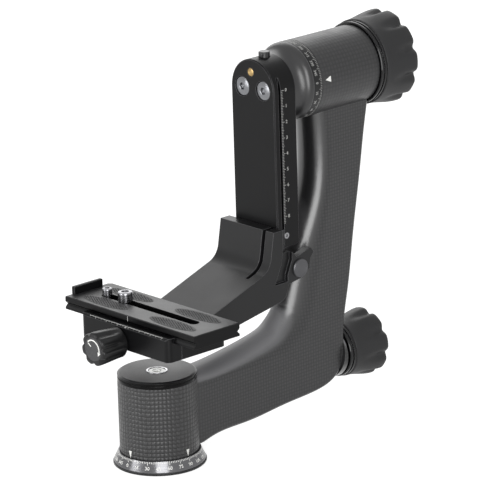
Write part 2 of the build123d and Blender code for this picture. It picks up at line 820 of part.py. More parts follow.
with BuildPart() as tilt_knob_cap:
    rod(tilt_axis, tilt_grip_end - cap_thickness, tilt_grip_end, tilt_cap_radius)
    chamfer(tilt_knob_cap.edges().group_by(Axis.X)[-1], cap_bevel)
finish(tilt_knob_cap.part, "tilt_knob_cap")

# ======== Swing rail ========
groove_x = rail_front + rail_flange_thickness
groove_end_x = groove_x + rail_groove_width
rail_top_z = tilt_z + rail_half_width
screw_z = tilt_z + rail_screw_rise
brass_z = tilt_z + brass_pin_rise
stop_screw_x = groove_end_x + stop_screw_radius + seat


def stadium(foot_z):
    """Outline of the rail seen from the front: straight sides under a half circle."""
    Line((-rail_half_width, foot_z), (rail_half_width, foot_z))
    Line((rail_half_width, foot_z), (rail_half_width, tilt_z))
    CenterArc((0, tilt_z), rail_half_width, 0, 180)
    Line((-rail_half_width, tilt_z), (-rail_half_width, foot_z))


with BuildPart() as swing_rail:
    with BuildSketch(Plane.YZ.offset(rail_front)):
        with BuildLine():
            stadium(rail_foot_z)
        make_face()
    extrude(amount=rail_flange_thickness + rail_groove_width)
    chamfer(swing_rail.faces().sort_by(Axis.X)[0].edges(), rail_edge_chamfer)
    with BuildSketch(Plane.YZ.offset(groove_end_x)):
        with BuildLine():
            stadium(rail_rear_foot_z)
        make_face()
    extrude(amount=rail_back - groove_end_x)
    fillet(swing_rail.faces().sort_by(Axis.X)[-1].edges().filter_by(Axis.Y), rail_corner_radius)
    for side in (-1, 1):
        with BuildSketch(Plane.YZ.offset(groove_x)):
            with Locations((side * rail_half_width, tilt_z)):
                Rectangle(2 * rail_groove_depth, 2 * (tilt_z - rail_foot_z + gap))
        extrude(amount=rail_groove_width, mode=Mode.SUBTRACT)
    with Locations(Plane(origin=(rail_front, 0, screw_z), x_dir=(0, 1, 0), z_dir=(-1, 0, 0))):
        with Locations((-rail_screw_y, 0), (rail_screw_y, 0)):
            CounterBoreHole(
                rail_screw_radius + seat,
                rail_screw_head_radius + seat,
                rail_screw_head_height + 2 * seat,
                depth=rail_depth + seat,
            )
    with Locations(Plane(origin=(rail_front, brass_pin_y, brass_z), x_dir=(0, 1, 0), z_dir=(-1, 0, 0))):
        Hole(brass_pin_radius + seat, depth=brass_pin_length + 2 * seat)
    with Locations((button_x, 0, rail_top_z)):
        Hole(button_radius + gap, depth=button_length - button_proud + button_travel + gap)
    with Locations(Plane(origin=(stop_screw_x, -rail_half_width, stop_screw_z), z_dir=(0, -1, 0))):
        Hole(stop_screw_radius + seat, depth=stop_screw_length)
finish(swing_rail.part, "swing_rail")

with BuildPart() as rail_screws:
    for side in (-1, 1):
        screw_axis = Plane(origin=(0, side * rail_screw_y, screw_z), x_dir=(1, 0, 0), z_dir=(0, -1, 0))
        head_start = rail_front + seat
        rod(screw_axis, head_start, head_start + rail_screw_head_height, rail_screw_head_radius)
        rod(screw_axis, rail_front + seat, rail_back + rail_screw_reach, rail_screw_radius)
        with BuildSketch(Plane.YZ.offset(rail_front)):
            with Locations((side * rail_screw_y, screw_z)):
                RegularPolygon(socket_radius, 6)
        extrude(amount=socket_depth, mode=Mode.SUBTRACT)
finish(rail_screws.part, "rail_screws")

with BuildPart() as brass_pin:
    brass_axis = Plane(origin=(0, brass_pin_y, brass_z), x_dir=(1, 0, 0), z_dir=(0, -1, 0))
    rod(brass_axis, rail_front + seat, rail_front + brass_pin_length, brass_pin_radius)
    rod(brass_axis, rail_front, rail_front + brass_slot_depth, brass_slot_radius, Mode.SUBTRACT)
finish(brass_pin.part, "brass_pin")

with BuildPart() as rail_stop_screw:
    stop_axis = Plane(origin=(stop_screw_x, 0, stop_screw_z), x_dir=(0, 1, 0), z_dir=(1, 0, 0))
    rod(stop_axis, -rail_half_width + seat, -rail_half_width + stop_screw_length - seat, stop_screw_radius)
    rod(stop_axis, -rail_half_width, -rail_half_width + stop_socket_depth, stop_socket_radius, Mode.SUBTRACT)
finish(rail_stop_screw.part, "rail_stop_screw")

with BuildPart() as rail_button:
    button_foot_z = rail_top_z + button_proud - button_length
    button_axis = Plane(origin=(button_x, 0, 0), x_dir=(0, 0, 1), z_dir=(0, 1, 0))
    button_top_z = rail_top_z + button_proud
    turn(
        button_axis,
        [
            (button_foot_z, 0),
            (button_foot_z, button_radius),
            (button_top_z - button_rim, button_radius),
            (button_top_z, button_radius - button_rim),
            (button_top_z, 0),
        ],
    )
finish(rail_button.part, "rail_button")

# ======== Carriage bracket ========
clamp_side_x = clamp_half_width + seat
plate_back_x = rail_front - plate_back_gap
shelf_run = heading(180 + shelf_drop)
bend = flat(plate_bend)
shelf_end = bend + shelf_run * ((clamp_side_x - bend.X) / shelf_run.X)
channel_half_width = rail_half_width + gap
lip_inner_y = rail_half_width - rail_groove_depth + gap


def both_sides(near, far):
    """The same span of y on the left and on the right of the middle plane."""
    return ((near, far), (-far, -near))


with BuildPart() as carriage_bracket:
    with BuildSketch(Plane.XZ.offset(-bracket_half_width)) as bracket_side:
        with BuildLine():
            Polyline(
                plate_top,
                plate_bend,
                (shelf_end.X, shelf_end.Y),
                (clamp_side_x, foot_top_z),
                (foot_end_x, foot_top_z),
                (foot_end_x, clamp_bottom_z),
                (clamp_half_width, clamp_bottom_z),
                underside_far,
                back_low,
                *lug_outline,
                (pocket_lug[2][0], web_top_z),
                (plate_back_x, web_top_z),
                (plate_back_x, plate_top[1]),
                close=True,
            )
        make_face()
        fillet(bracket_side.vertices().sort_by_distance((*plate_bend, 0))[0], bend_radius)
        fillet(bracket_side.vertices().sort_by_distance((*underside_far, 0))[0], back_radius)
        for corner in (lug_outline[1], lug_outline[3], lug_outline[4]):
            fillet(bracket_side.vertices().sort_by_distance((*corner, 0))[0], lug_radius)
    extrude(amount=2 * bracket_half_width)
    # The channel that the rail slides in, open below, and the lips that hook into its grooves.
    with BuildSketch(Plane.XY.offset(clamp_bottom_z)):
        with Locations((plate_back_x, 0)):
            Rectangle(2 * rail_depth, 2 * channel_half_width, align=(Align.MIN, Align.CENTER))
    extrude(amount=plate_top[1], mode=Mode.SUBTRACT)
    for near, far in both_sides(lip_inner_y, channel_half_width):
        with BuildSketch(Plane.XY.offset(hook_foot_z)):
            with Locations(((groove_x + groove_end_x) / 2, (near + far) / 2)):
                Rectangle(rail_groove_width - 2 * gap, far - near)
        extrude(amount=web_top_z - hook_foot_z)
    for near, far in both_sides(lip_inner_y, rail_half_width):
        with BuildSketch(Plane.XY.offset(web_top_z)):
            with Locations(((groove_x + groove_end_x) / 2, (near + far) / 2)):
                Rectangle(rail_groove_width - 2 * gap, far - near)
        extrude(amount=lip_top_z - web_top_z)
    # Shallow pockets between the upright plate and the lugs.
    for near, far in both_sides(bracket_half_width - pocket_depth, bracket_half_width):
        pocket = [pocket_floor, *pocket_lug, (plate_back_x, pocket_lug[-1][1]), pocket_front]
        side_profile(pocket, near, far, Mode.SUBTRACT)
    # The slit that lets the near edge of the bracket flex onto the rail.
    with BuildSketch(Plane.XY.offset(hook_foot_z)):
        with Locations((slit_end_x + slit_width / 2, slit_y)):
            Circle(slit_width / 2)
        with Locations((slit_end_x + slit_width / 2, slit_y)):
            Rectangle(rail_front - slit_end_x, slit_width, align=(Align.MIN, Align.CENTER))
    extrude(amount=plate_top[1], mode=Mode.SUBTRACT)
    # Seats for the friction pads, the plug and the locking screw.
    for near, far in both_sides(channel_half_width - seat, channel_half_width + pad_thickness):
        with BuildSketch(Plane.XZ.offset(-far)):
            with Locations(lug_axis):
                Rectangle(pad_size[0] + 2 * seat, pad_size[1] + 2 * seat)
        extrude(amount=far - near, mode=Mode.SUBTRACT)
    rod(lug_cross_axis, -bracket_half_width, -channel_half_width, plug_radius + seat, Mode.SUBTRACT)
    rod(lug_cross_axis, channel_half_width, bracket_half_width, height_screw_radius + running, Mode.SUBTRACT)
    with Locations(Plane(origin=(0, 0, clamp_bottom_z), x_dir=(1, 0, 0), z_dir=(0, 0, -1))):
        with Locations(*[(x, side * clamp_screw_y) for x in clamp_screw_x for side in (-1, 1)]):
            CounterSinkHole(
                clamp_screw_radius + seat,
                clamp_screw_head_radius + seat,
                depth=foot_top_z - clamp_bottom_z,
            )
finish(carriage_bracket.part, "carriage_bracket")

with BuildPart() as friction_pads:
    for near, far in both_sides(channel_half_width, channel_half_width + pad_thickness - seat):
        with BuildSketch(Plane.XZ.offset(-far)):
            with Locations(lug_axis):
                Rectangle(*pad_size)
        extrude(amount=far - near)
finish(friction_pads.part, "friction_pads")

plug_foot_y = channel_half_width + pad_thickness
with BuildPart() as friction_plug:
    rod(lug_cross_axis, -bracket_half_width - plug_proud, -plug_foot_y, plug_radius)
    chamfer(friction_plug.edges().group_by(Axis.Y)[0], plug_bevel)
finish(friction_plug.part, "friction_plug")

height_knob_y = bracket_half_width + 2 * gap
height_knob_end = height_knob_y + height_knob_length
height_knob_rim = height_knob_radius - height_knob_edge
with BuildPart() as height_lock_screw:
    rod(lug_cross_axis, plug_foot_y + gap, height_knob_y + height_knob_length / 2, height_screw_radius)
finish(height_lock_screw.part, "height_lock_screw")

with BuildPart() as height_lock_knob:
    fluted_grip(
        lug_cross_axis,
        [
            (height_knob_y, 0),
            (height_knob_y, height_knob_rim),
            (height_knob_y + height_knob_edge, height_knob_radius),
            (height_knob_end - height_knob_edge, height_knob_radius),
            (height_knob_end, height_knob_rim),
            (height_knob_end, 0),
        ],
        (height_knob_y, height_knob_radius - height_knob_flute),
        (height_knob_end, height_knob_radius - height_knob_flute),
        height_knob_cutter,
        height_knob_lobes,
        0,
    )
    rod(
        lug_cross_axis,
        height_knob_y,
        height_knob_y + height_knob_length / 2 + seat,
        height_screw_radius + seat,
        Mode.SUBTRACT,
    )
finish(height_lock_knob.part, "height_lock_knob")

# ======== Quick-release clamp ========
clamp_middle_y = (clamp_ends[0] + clamp_ends[1]) / 2
clamp_length = clamp_ends[1] - clamp_ends[0]
plate_bottom_z = plate_top_z - plate_thickness
flange_top = plate_bottom_z + dovetail_flange
groove_depth_z = flange_top + dovetail_groove
jaw_inner_x = plate_half_width + gap
lip_low_z = flange_top + gap
lip_reach = groove_depth_z - gap - lip_low_z
jaw_tip_x = jaw_inner_x - lip_reach
jaw_hook = [
    (jaw_inner_x, clamp_floor_z),
    (jaw_inner_x, lip_low_z),
    (jaw_tip_x, groove_depth_z - gap),
    (jaw_tip_x, clamp_jaw_top_z),
    (clamp_half_width - clamp_jaw_bevel, clamp_jaw_top_z),
    (clamp_half_width, clamp_jaw_top_z - clamp_jaw_bevel),
    (clamp_half_width, clamp_bottom_z),
]

with BuildPart() as clamp_base:
    side_profile([(jaw_split_x, clamp_bottom_z), (jaw_split_x, clamp_floor_z), *jaw_hook], *clamp_ends)
    fillet(clamp_base.edges().filter_by(Axis.Z).sort_by(Axis.X)[-2:], clamp_corner_radius)
    with BuildSketch(Plane.XY.offset(clamp_bottom_z)):
        with Locations((foot_end_x - seat, 0)):
            Rectangle(clamp_half_width, 2 * (bracket_half_width + seat), align=(Align.MIN, Align.CENTER))
    extrude(amount=foot_top_z + seat - clamp_bottom_z, mode=Mode.SUBTRACT)
    with BuildSketch(Plane.XY.offset(clamp_floor_z)):
        with Locations((0, clamp_middle_y)):
            Rectangle(2 * floor_groove_half_width, clamp_length)
    extrude(amount=-floor_groove_depth, mode=Mode.SUBTRACT)
    with Locations(Plane(origin=(0, 0, foot_top_z), x_dir=(1, 0, 0), z_dir=(0, 0, -1))):
        with Locations(*[(x, side * clamp_screw_y) for x in clamp_screw_x for side in (-1, 1)]):
            Hole(clamp_screw_radius + seat, depth=clamp_screw_length - foot_top_z + clamp_bottom_z + seat)
    rod(clamp_axis, jaw_split_x, clamp_stud_end_x + gap, clamp_stud_radius + gap, Mode.SUBTRACT)
    for pin_y in guide_pin_y:
        pin_axis = Plane(origin=(0, pin_y, clamp_knob_z), x_dir=(1, 0, 0), z_dir=(0, -1, 0))
        pin_end_x = jaw_split_x + guide_pin_length / 2
        rod(pin_axis, jaw_split_x, pin_end_x, guide_pin_radius + seat, Mode.SUBTRACT)
finish(clamp_base.part, "clamp_base")

with BuildPart() as clamp_screws:
    for x in clamp_screw_x:
        for side in (-1, 1):
            with Locations((x, side * clamp_screw_y, clamp_bottom_z)):
                Cylinder(clamp_screw_radius, clamp_screw_length, align=(Align.CENTER, Align.CENTER, Align.MIN))
                Cone(
                    clamp_screw_head_radius,
                    clamp_screw_radius,
                    clamp_screw_head_radius - clamp_screw_radius,
                    align=(Align.CENTER, Align.CENTER, Align.MIN),
                )
finish(clamp_screws.part, "clamp_screws")

with BuildPart() as jaw_guide_pins:
    for pin_y in guide_pin_y:
        pin_axis = Plane(origin=(0, pin_y, clamp_knob_z), x_dir=(1, 0, 0), z_dir=(0, -1, 0))
        rod(
            pin_axis,
            jaw_split_x - guide_pin_length / 2,
            jaw_split_x + guide_pin_length / 2 - seat,
            guide_pin_radius,
        )
finish(jaw_guide_pins.part, "jaw_guide_pins")

with BuildPart() as moving_jaw:
    jaw_face_x = jaw_split_x - gap
    side_profile(
        [(jaw_face_x, clamp_bottom_z), (jaw_face_x, clamp_floor_z), *[(-x, z) for x, z in jaw_hook]],
        *clamp_ends,
    )
    fillet(moving_jaw.edges().filter_by(Axis.Z).sort_by(Axis.X)[:2], clamp_corner_radius)
    rod(clamp_axis, -clamp_half_width, jaw_face_x, clamp_stud_radius + running, Mode.SUBTRACT)
    for pin_y in guide_pin_y:
        pin_axis = Plane(origin=(0, pin_y, clamp_knob_z), x_dir=(1, 0, 0), z_dir=(0, -1, 0))
        rod(pin_axis, guide_hole_roof - clamp_half_width, jaw_face_x, guide_pin_radius + running, Mode.SUBTRACT)
finish(moving_jaw.part, "moving_jaw")

clamp_knob_x = -clamp_half_width - gap
clamp_knob_end = clamp_knob_x - clamp_knob_length
with BuildPart() as clamp_knob_grip:
    fluted_grip(
        clamp_axis,
        [
            (clamp_knob_x, 0),
            (clamp_knob_x, clamp_knob_radius - clamp_knob_foot_drop),
            (clamp_knob_x - clamp_knob_swell * clamp_knob_length, clamp_knob_radius),
            (clamp_knob_end + clamp_knob_edge, clamp_knob_radius - clamp_knob_edge_drop),
            (clamp_knob_end, clamp_knob_radius - clamp_knob_edge_drop - clamp_knob_edge),
            (clamp_knob_end, 0),
        ],
        (clamp_knob_x, clamp_knob_radius - clamp_knob_foot_drop),
        (clamp_knob_end, clamp_knob_radius - clamp_knob_edge_drop - clamp_knob_flute),
        clamp_knob_cutter,
        clamp_knob_lobes,
        clamp_knob_phase,
    )
    clamp_bore_end = clamp_knob_end + clamp_knob_length / 2
    rod(clamp_axis, clamp_knob_x, clamp_bore_end, clamp_stud_radius + seat, Mode.SUBTRACT)
finish(clamp_knob_grip.part, "clamp_knob_grip")

with BuildPart() as clamp_knob_screw:
    rod(clamp_axis, clamp_stud_end_x, clamp_bore_end + seat, clamp_stud_radius)
finish(clamp_knob_screw.part, "clamp_knob_screw")

# ======== Lens plate ========
plate_side = [
    (plate_half_width, plate_bottom_z),
    (plate_half_width, flange_top),
    (plate_half_width - dovetail_groove, groove_depth_z),
    (plate_half_width, groove_depth_z + dovetail_groove),
    (plate_half_width, plate_top_z),
]
lip_foot_z = plate_top_z - lip_seat_depth
slot_length = slot_ends[1] - slot_ends[0]
slot_middle_y = (slot_ends[0] + slot_ends[1]) / 2
channel_length = slot_length + 2 * (screw_channel_half_width - slot_half_width)
stop_pin_places = [
    (stop_pin_x, plate_ends[0] + stop_pin_inset),
    (stop_pin_x, plate_ends[1] - stop_pin_inset),
]
stop_pin_depth = lip_foot_z - plate_bottom_z - stop_pin_roof
channel_top_z = plate_top_z - slot_web

with BuildPart() as lens_plate:
    side_profile([*plate_side, *[(-x, z) for x, z in reversed(plate_side)]], *plate_ends)
    chamfer(lens_plate.faces().sort_by(Axis.Z)[-1].edges(), plate_edge_chamfer)
    with BuildSketch(Plane.XY.offset(plate_top_z)):
        with BuildLine():
            Polyline(
                (plate_half_width, plate_ends[1] - plate_corner_cut),
                (plate_half_width - plate_corner_cut, plate_ends[1]),
                (plate_half_width, plate_ends[1]),
                close=True,
            )
        make_face()
    extrude(amount=-plate_thickness, mode=Mode.SUBTRACT)
    with BuildSketch(Plane.XY.offset(plate_top_z)):
        with Locations((0, slot_middle_y)):
            SlotOverall(slot_length, 2 * slot_half_width, rotation=90)
    extrude(amount=-plate_thickness, mode=Mode.SUBTRACT)
    with BuildSketch(Plane.XY.offset(plate_bottom_z)):
        with Locations((0, slot_middle_y)):
            SlotOverall(channel_length, 2 * screw_channel_half_width, rotation=90)
    extrude(amount=channel_top_z - plate_bottom_z, mode=Mode.SUBTRACT)
    with BuildSketch(Plane.XY.offset(plate_top_z)):
        for low, high in pad_spans:
            for side in (-1, 1):
                with Locations((side * pad_offset_x, (low + high) / 2)):
                    Ellipse(pad_half_width + seat, (high - low) / 2 + seat)
    extrude(amount=-pad_sink, mode=Mode.SUBTRACT)
    with BuildSketch(Plane.XY.offset(lip_foot_z)):
        with Locations(((lip_span[0] + lip_span[1]) / 2, plate_ends[1])):
            Rectangle(lip_span[1] - lip_span[0] + 2 * seat, 2 * (lip_thickness + seat))
    extrude(amount=lip_seat_depth, mode=Mode.SUBTRACT)
    with Locations(Plane(origin=(0, 0, plate_bottom_z), x_dir=(1, 0, 0), z_dir=(0, 0, -1))):
        with Locations(*[(x, -y) for x, y in stop_pin_places]):
            Hole(stop_pin_radius + seat, depth=stop_pin_depth)
finish(lens_plate.part, "lens_plate")

with BuildPart() as plate_lip:
    with BuildSketch(Plane.XY.offset(lip_foot_z + seat)):
        with Locations(((lip_span[0] + lip_span[1]) / 2, plate_ends[1] - lip_thickness / 2)):
            Rectangle(lip_span[1] - lip_span[0], lip_thickness)
    extrude(amount=lip_seat_depth + lip_rise - seat)
    chamfer(plate_lip.faces().sort_by(Axis.Z)[-1].edges(), lip_bevel)
finish(plate_lip.part, "plate_lip")

with BuildPart() as plate_grip_pads:
    with BuildSketch(Plane.XY.offset(plate_top_z - pad_sink)):
        for low, high in pad_spans:
            for side in (-1, 1):
                with Locations((side * pad_offset_x, (low + high) / 2)):
                    Ellipse(pad_half_width, (high - low) / 2)
    extrude(amount=pad_sink + pad_proud)
finish(plate_grip_pads.part, "plate_grip_pads")

with BuildPart() as plate_stop_screws:
    for x, y in stop_pin_places:
        with Locations((x, y, plate_bottom_z - stop_pin_proud)):
            Cylinder(
                stop_pin_radius,
                stop_pin_depth + stop_pin_proud - seat,
                align=(Align.CENTER, Align.CENTER, Align.MIN),
            )
finish(plate_stop_screws.part, "plate_stop_screws")


def camera_screw(name, y, stud_radius, stud_height):
    """A captive camera screw: stud, shank through the slot, and a head in the channel below."""
    screw_axis = Plane(origin=(0, y, 0), x_dir=(0, 0, 1), z_dir=(0, 1, 0))
    head_top_z = channel_top_z - washer_thickness - 2 * gap
    with BuildPart() as screw:
        turn(
            screw_axis,
            [
                (head_top_z - camera_screw_head_height, 0),
                (head_top_z - camera_screw_head_height, camera_screw_head_radius),
                (head_top_z, camera_screw_head_radius),
                (head_top_z, camera_screw_shank),
                (plate_top_z + gap, camera_screw_shank),
                (plate_top_z + gap, stud_radius),
                (plate_top_z + stud_height - stud_tip_bevel, stud_radius),
                (plate_top_z + stud_height, stud_radius - stud_tip_bevel),
                (plate_top_z + stud_height, 0),
            ],
        )
        with BuildSketch(Plane.XY.offset(head_top_z - camera_screw_head_height)):
            with Locations((0, y)):
                Rectangle(2 * camera_screw_head_radius, driver_slot_width)
        extrude(amount=driver_slot_depth, mode=Mode.SUBTRACT)
    finish(screw.part, name)


def captive_washer(name, y):
    """The washer that keeps a camera screw in its slot."""
    screw_axis = Plane(origin=(0, y, 0), x_dir=(0, 0, 1), z_dir=(0, 1, 0))
    with BuildPart() as washer:
        tube(
            screw_axis,
            channel_top_z - gap - washer_thickness,
            channel_top_z - gap,
            camera_screw_shank + running,
            camera_screw_head_radius,
        )
    finish(washer.part, name)


camera_screw("large_camera_screw", big_stud_y, big_stud_radius, big_stud_height)
captive_washer("large_screw_washer", big_stud_y)
camera_screw("small_camera_screw", small_stud_y, small_stud_radius, small_stud_height)
captive_washer("small_screw_washer", small_stud_y)
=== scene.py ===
from math import atan2, cos, pi, radians, sin

import bmesh
import bpy
from mathutils import Matrix, Vector


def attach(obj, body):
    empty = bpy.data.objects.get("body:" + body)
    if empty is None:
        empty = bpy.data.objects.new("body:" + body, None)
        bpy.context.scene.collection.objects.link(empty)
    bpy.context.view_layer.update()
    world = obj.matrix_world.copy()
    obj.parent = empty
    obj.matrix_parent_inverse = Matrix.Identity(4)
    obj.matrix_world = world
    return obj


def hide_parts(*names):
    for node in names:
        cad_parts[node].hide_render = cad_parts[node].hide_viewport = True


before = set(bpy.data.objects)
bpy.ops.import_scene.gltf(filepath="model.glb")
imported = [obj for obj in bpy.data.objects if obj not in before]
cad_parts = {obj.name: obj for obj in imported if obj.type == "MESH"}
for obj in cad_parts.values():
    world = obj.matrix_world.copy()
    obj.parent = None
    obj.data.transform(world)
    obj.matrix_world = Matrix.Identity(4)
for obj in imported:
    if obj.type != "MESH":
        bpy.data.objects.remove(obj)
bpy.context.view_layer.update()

# A side-mount gimbal head: a carbon arm on a round pan base, a swinging rail with a sliding bracket,
# and a quick-release clamp with its lens plate. The solids come from model.glb. Here they get their
# finishes, their engraved and printed scales, their threads, their lobed grips and their dotted pads.

MM = 0.001

# ---- Sizes in millimetres, as the solids have them ----
tilt_z = 217.5  # height of the tilt axis
lock_z = 34.4  # height of the pan lock's axis
clamp_knob_axis = (7.5, 80.8)  # y and z of the clamp knob's axis
barrel_radius = 24.4
rail_face_x = 85.5
rail_screw_y, rail_screw_z = 9.3, 218.3  # the screws stand to both sides of y = 0
pin_end = (rail_face_x, 1.5, 228.4)
plug_end = (98.8, -25, 105.6)
large_stud_y, small_stud_y = 26.8, 43.6
print_height = 0.06  # how far ink stands above the metal
dial_step = 15  # degrees from one number to the next
dial_numbers = 24
ticks_per_number = 6


# ======== Small helpers ========
def linear(code):
    """An sRGB hex colour as linear red, green, blue and alpha."""
    shares = [int(code[at : at + 2], 16) / 255 for at in (1, 3, 5)]
    return (*[s / 12.92 if s <= 0.04045 else ((s + 0.055) / 1.055) ** 2.4 for s in shares], 1.0)


def add(tree, kind, inputs=(), **settings):
    """Adds a node to the tree and gives its first output in use.

    The inputs are listed in order, or by name. Each is a plain value, or the output that feeds it.
    """
    node = tree.nodes.new(kind)
    for name, value in settings.items():
        setattr(node, name, value)
    for name, value in inputs.items() if isinstance(inputs, dict) else enumerate(inputs):
        if isinstance(value, bpy.types.NodeSocket):
            tree.links.new(value, node.inputs[name])
        else:
            node.inputs[name].default_value = value
    return next((out for out in node.outputs if out.enabled), None)


def join(name, meshes):
    """One mesh out of several, with doubles merged and faces turned outwards."""
    whole = bmesh.new()
    for mesh in meshes:
        whole.from_mesh(mesh)
        bpy.data.meshes.remove(mesh)
    bmesh.ops.remove_doubles(whole, verts=whole.verts, dist=2e-7)
    bmesh.ops.dissolve_degenerate(whole, edges=whole.edges, dist=1e-7)
    bmesh.ops.recalc_face_normals(whole, faces=whole.faces)
    result = bpy.data.meshes.new(name)
    whole.to_mesh(result)
    whole.free()
    return result


def put(name, body, meshes, finish, stands_for=(), crease=35):
    """A finished piece on its body, smooth but for edges sharper than the crease angle."""
    mesh = join(name, meshes)
    mesh.materials.append(finish)
    mesh.shade_smooth()
    mesh.set_sharp_from_angle(angle=radians(crease))
    piece = bpy.data.objects.new(name, mesh)
    bpy.context.collection.objects.link(piece)
    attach(piece, body)
    if stands_for:
        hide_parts(*stands_for)
    return piece


def moulded(mesh, place):
    """The mesh with every point carried by place, which takes and gives millimetres."""
    for vertex in mesh.vertices:
        vertex.co = Vector(place(*(vertex.co / MM))) * MM
    return mesh


def slab(faces, height=print_height):
    """Flat outlines in x and y, each given height: a printed shape."""
    shape = bmesh.new()
    for outline in faces:
        shape.faces.new([shape.verts.new((x * MM, y * MM, 0)) for x, y in outline])
    bmesh.ops.remove_doubles(shape, verts=shape.verts, dist=1e-6)
    raised = bmesh.ops.extrude_face_region(shape, geom=list(shape.faces))
    tops = [part for part in raised["geom"] if isinstance(part, bmesh.types.BMVert)]
    bmesh.ops.translate(shape, verts=tops, vec=(0, 0, height * MM))
    mesh = bpy.data.meshes.new("slab")
    shape.to_mesh(mesh)
    shape.free()
    return mesh


def figure(text, height):
    """Printed digits of a height, centred, lying in x and y with their backs on z = 0."""
    curve = bpy.data.curves.new("figure", "FONT")
    curve.body = text
    curve.size = height / 0.7 * MM
    curve.align_x = "CENTER"
    curve.align_y = "CENTER"
    curve.extrude = print_height / 2 * MM
    curve.offset = 0.02 * height * MM
    curve.resolution_u = 3
    carrier = bpy.data.objects.new("figure", curve)
    bpy.context.collection.objects.link(carrier)
    graph = bpy.context.evaluated_depsgraph_get()
    mesh = bpy.data.meshes.new_from_object(carrier.evaluated_get(graph))
    bpy.data.objects.remove(carrier)
    middle = (min(v.co.y for v in mesh.vertices) + max(v.co.y for v in mesh.vertices)) / 2
    mesh.transform(Matrix.Translation((0, -middle, print_height / 2 * MM)))
    return mesh


def polar(radius, angle):
    """The point at a radius and an angle in radians."""
    return radius * cos(angle), radius * sin(angle)


def eased(share):
    """A share from 0 to 1 that starts and ends gently."""
    return share * share * (3 - 2 * share)


# ======== Finishes ========
def new_finish(name, colour, roughness, metallic=0.0, specular=0.5):
    """A new material with its shader's plain values."""
    material = bpy.data.materials.new(name)
    material.use_nodes = True
    tree = material.node_tree
    shader = tree.nodes["Principled BSDF"]
    shader.inputs["Base Color"].default_value = linear(colour)
    shader.inputs["Roughness"].default_value = roughness
    shader.inputs["Metallic"].default_value = metallic
    if not metallic:
        shader.inputs["Specular IOR Level"].default_value = specular
    return material, tree, shader


def weathered(tree, shader, grit, relief, spread, wear_and_glint_colour=None, edge=0.35):
    """Grain, uneven sheen and softened edges, made paler partly as rubbed wear and partly as a painted
    highlight. Grit, relief and edge are in mm.
    """
    place = add(tree, "ShaderNodeTexCoord").node.outputs["Object"]
    grain = add(tree, "ShaderNodeTexNoise", {"Vector": place, "Scale": 1 / (grit * MM), "Detail": 3.0})
    cloud = add(tree, "ShaderNodeTexNoise", {"Vector": place, "Scale": 1 / (18 * MM), "Detail": 3.0})
    handled = add(tree, "ShaderNodeMath", [grain, cloud], operation="MULTIPLY")
    plain = shader.inputs["Roughness"].default_value
    reach = {"From Min": 0.12, "From Max": 0.40, "To Min": plain - spread, "To Max": plain + spread}
    sheen = add(tree, "ShaderNodeMapRange", {"Value": handled, **reach})
    tree.links.new(sheen, shader.inputs["Roughness"])
    rounded = add(tree, "ShaderNodeBevel", {"Radius": edge * MM}, samples=6)
    bump = add(tree, "ShaderNodeBump", {"Height": grain, "Distance": relief * MM, "Normal": rounded})
    tree.links.new(bump, shader.inputs["Normal"])
    # Painted highlight and wear: the edges are mixed towards a paler colour, which stands partly for rubbed
    # metal and partly for light caught along them.
    if wear_and_glint_colour:
        flat = add(tree, "ShaderNodeNewGeometry").node.outputs["Normal"]
        turn = add(tree, "ShaderNodeVectorMath", [rounded, flat], operation="DOT_PRODUCT")
        reach = {"From Min": 0.995, "From Max": 0.90, "To Max": 0.8}
        rubbed = add(tree, "ShaderNodeMapRange", {"Value": turn, **reach})
        wear_and_glint = add(tree, "ShaderNodeMath", [rubbed, cloud], operation="MULTIPLY")
        whole = shader.inputs["Base Color"].default_value[:]
        colour = add(
            tree, "ShaderNodeMix", {"Factor": wear_and_glint, "A": whole, "B": linear(wear_and_glint_colour)}, data_type="RGBA"
        )
        tree.links.new(colour, shader.inputs["Base Color"])


def plain_finish(name, colour, roughness, specular, grit, relief, spread, wear_and_glint_colour, edge):
    """A finish of one colour, with the grain, sheen and edges of weathered."""
    material, tree, shader = new_finish(name, colour, roughness, specular=specular)
    weathered(tree, shader, grit, relief, spread, wear_and_glint_colour, edge)
    return material


def topped_anodising(name, top, side, top_roughness, side_roughness, top_shine, side_shine):
    """Black anodising, blasted matt on level faces and smoother on upright ones, with painted light: level
    faces are coloured paler and upright faces darker.
    """
    material, tree, shader = new_finish(name, top, top_roughness)
    weathered(tree, shader, grit=0.6, relief=0.010, spread=0.05)
    facing = add(tree, "ShaderNodeTexCoord").node.outputs["Normal"]
    lift = add(tree, "ShaderNodeSeparateXYZ", [facing]).node.outputs["Z"]
    level = add(tree, "ShaderNodeMapRange", {"Value": lift, "From Min": 0.6, "From Max": 0.9})
    blasted = shader.inputs["Roughness"].links[0].from_socket
    sheen = add(tree, "ShaderNodeMix", {"Factor": level, "A": side_roughness, "B": blasted})
    tree.links.new(sheen, shader.inputs["Roughness"])
    shine = add(tree, "ShaderNodeMix", {"Factor": level, "A": side_shine, "B": top_shine})
    tree.links.new(shine, shader.inputs["Specular IOR Level"])
    # Painted light: level faces take the paler colour and upright faces the darker one.
    painted_top_light = add(
        tree, "ShaderNodeMix", {"Factor": level, "A": linear(side), "B": linear(top)}, data_type="RGBA"
    )
    tree.links.new(painted_top_light, shader.inputs["Base Color"])
    return material


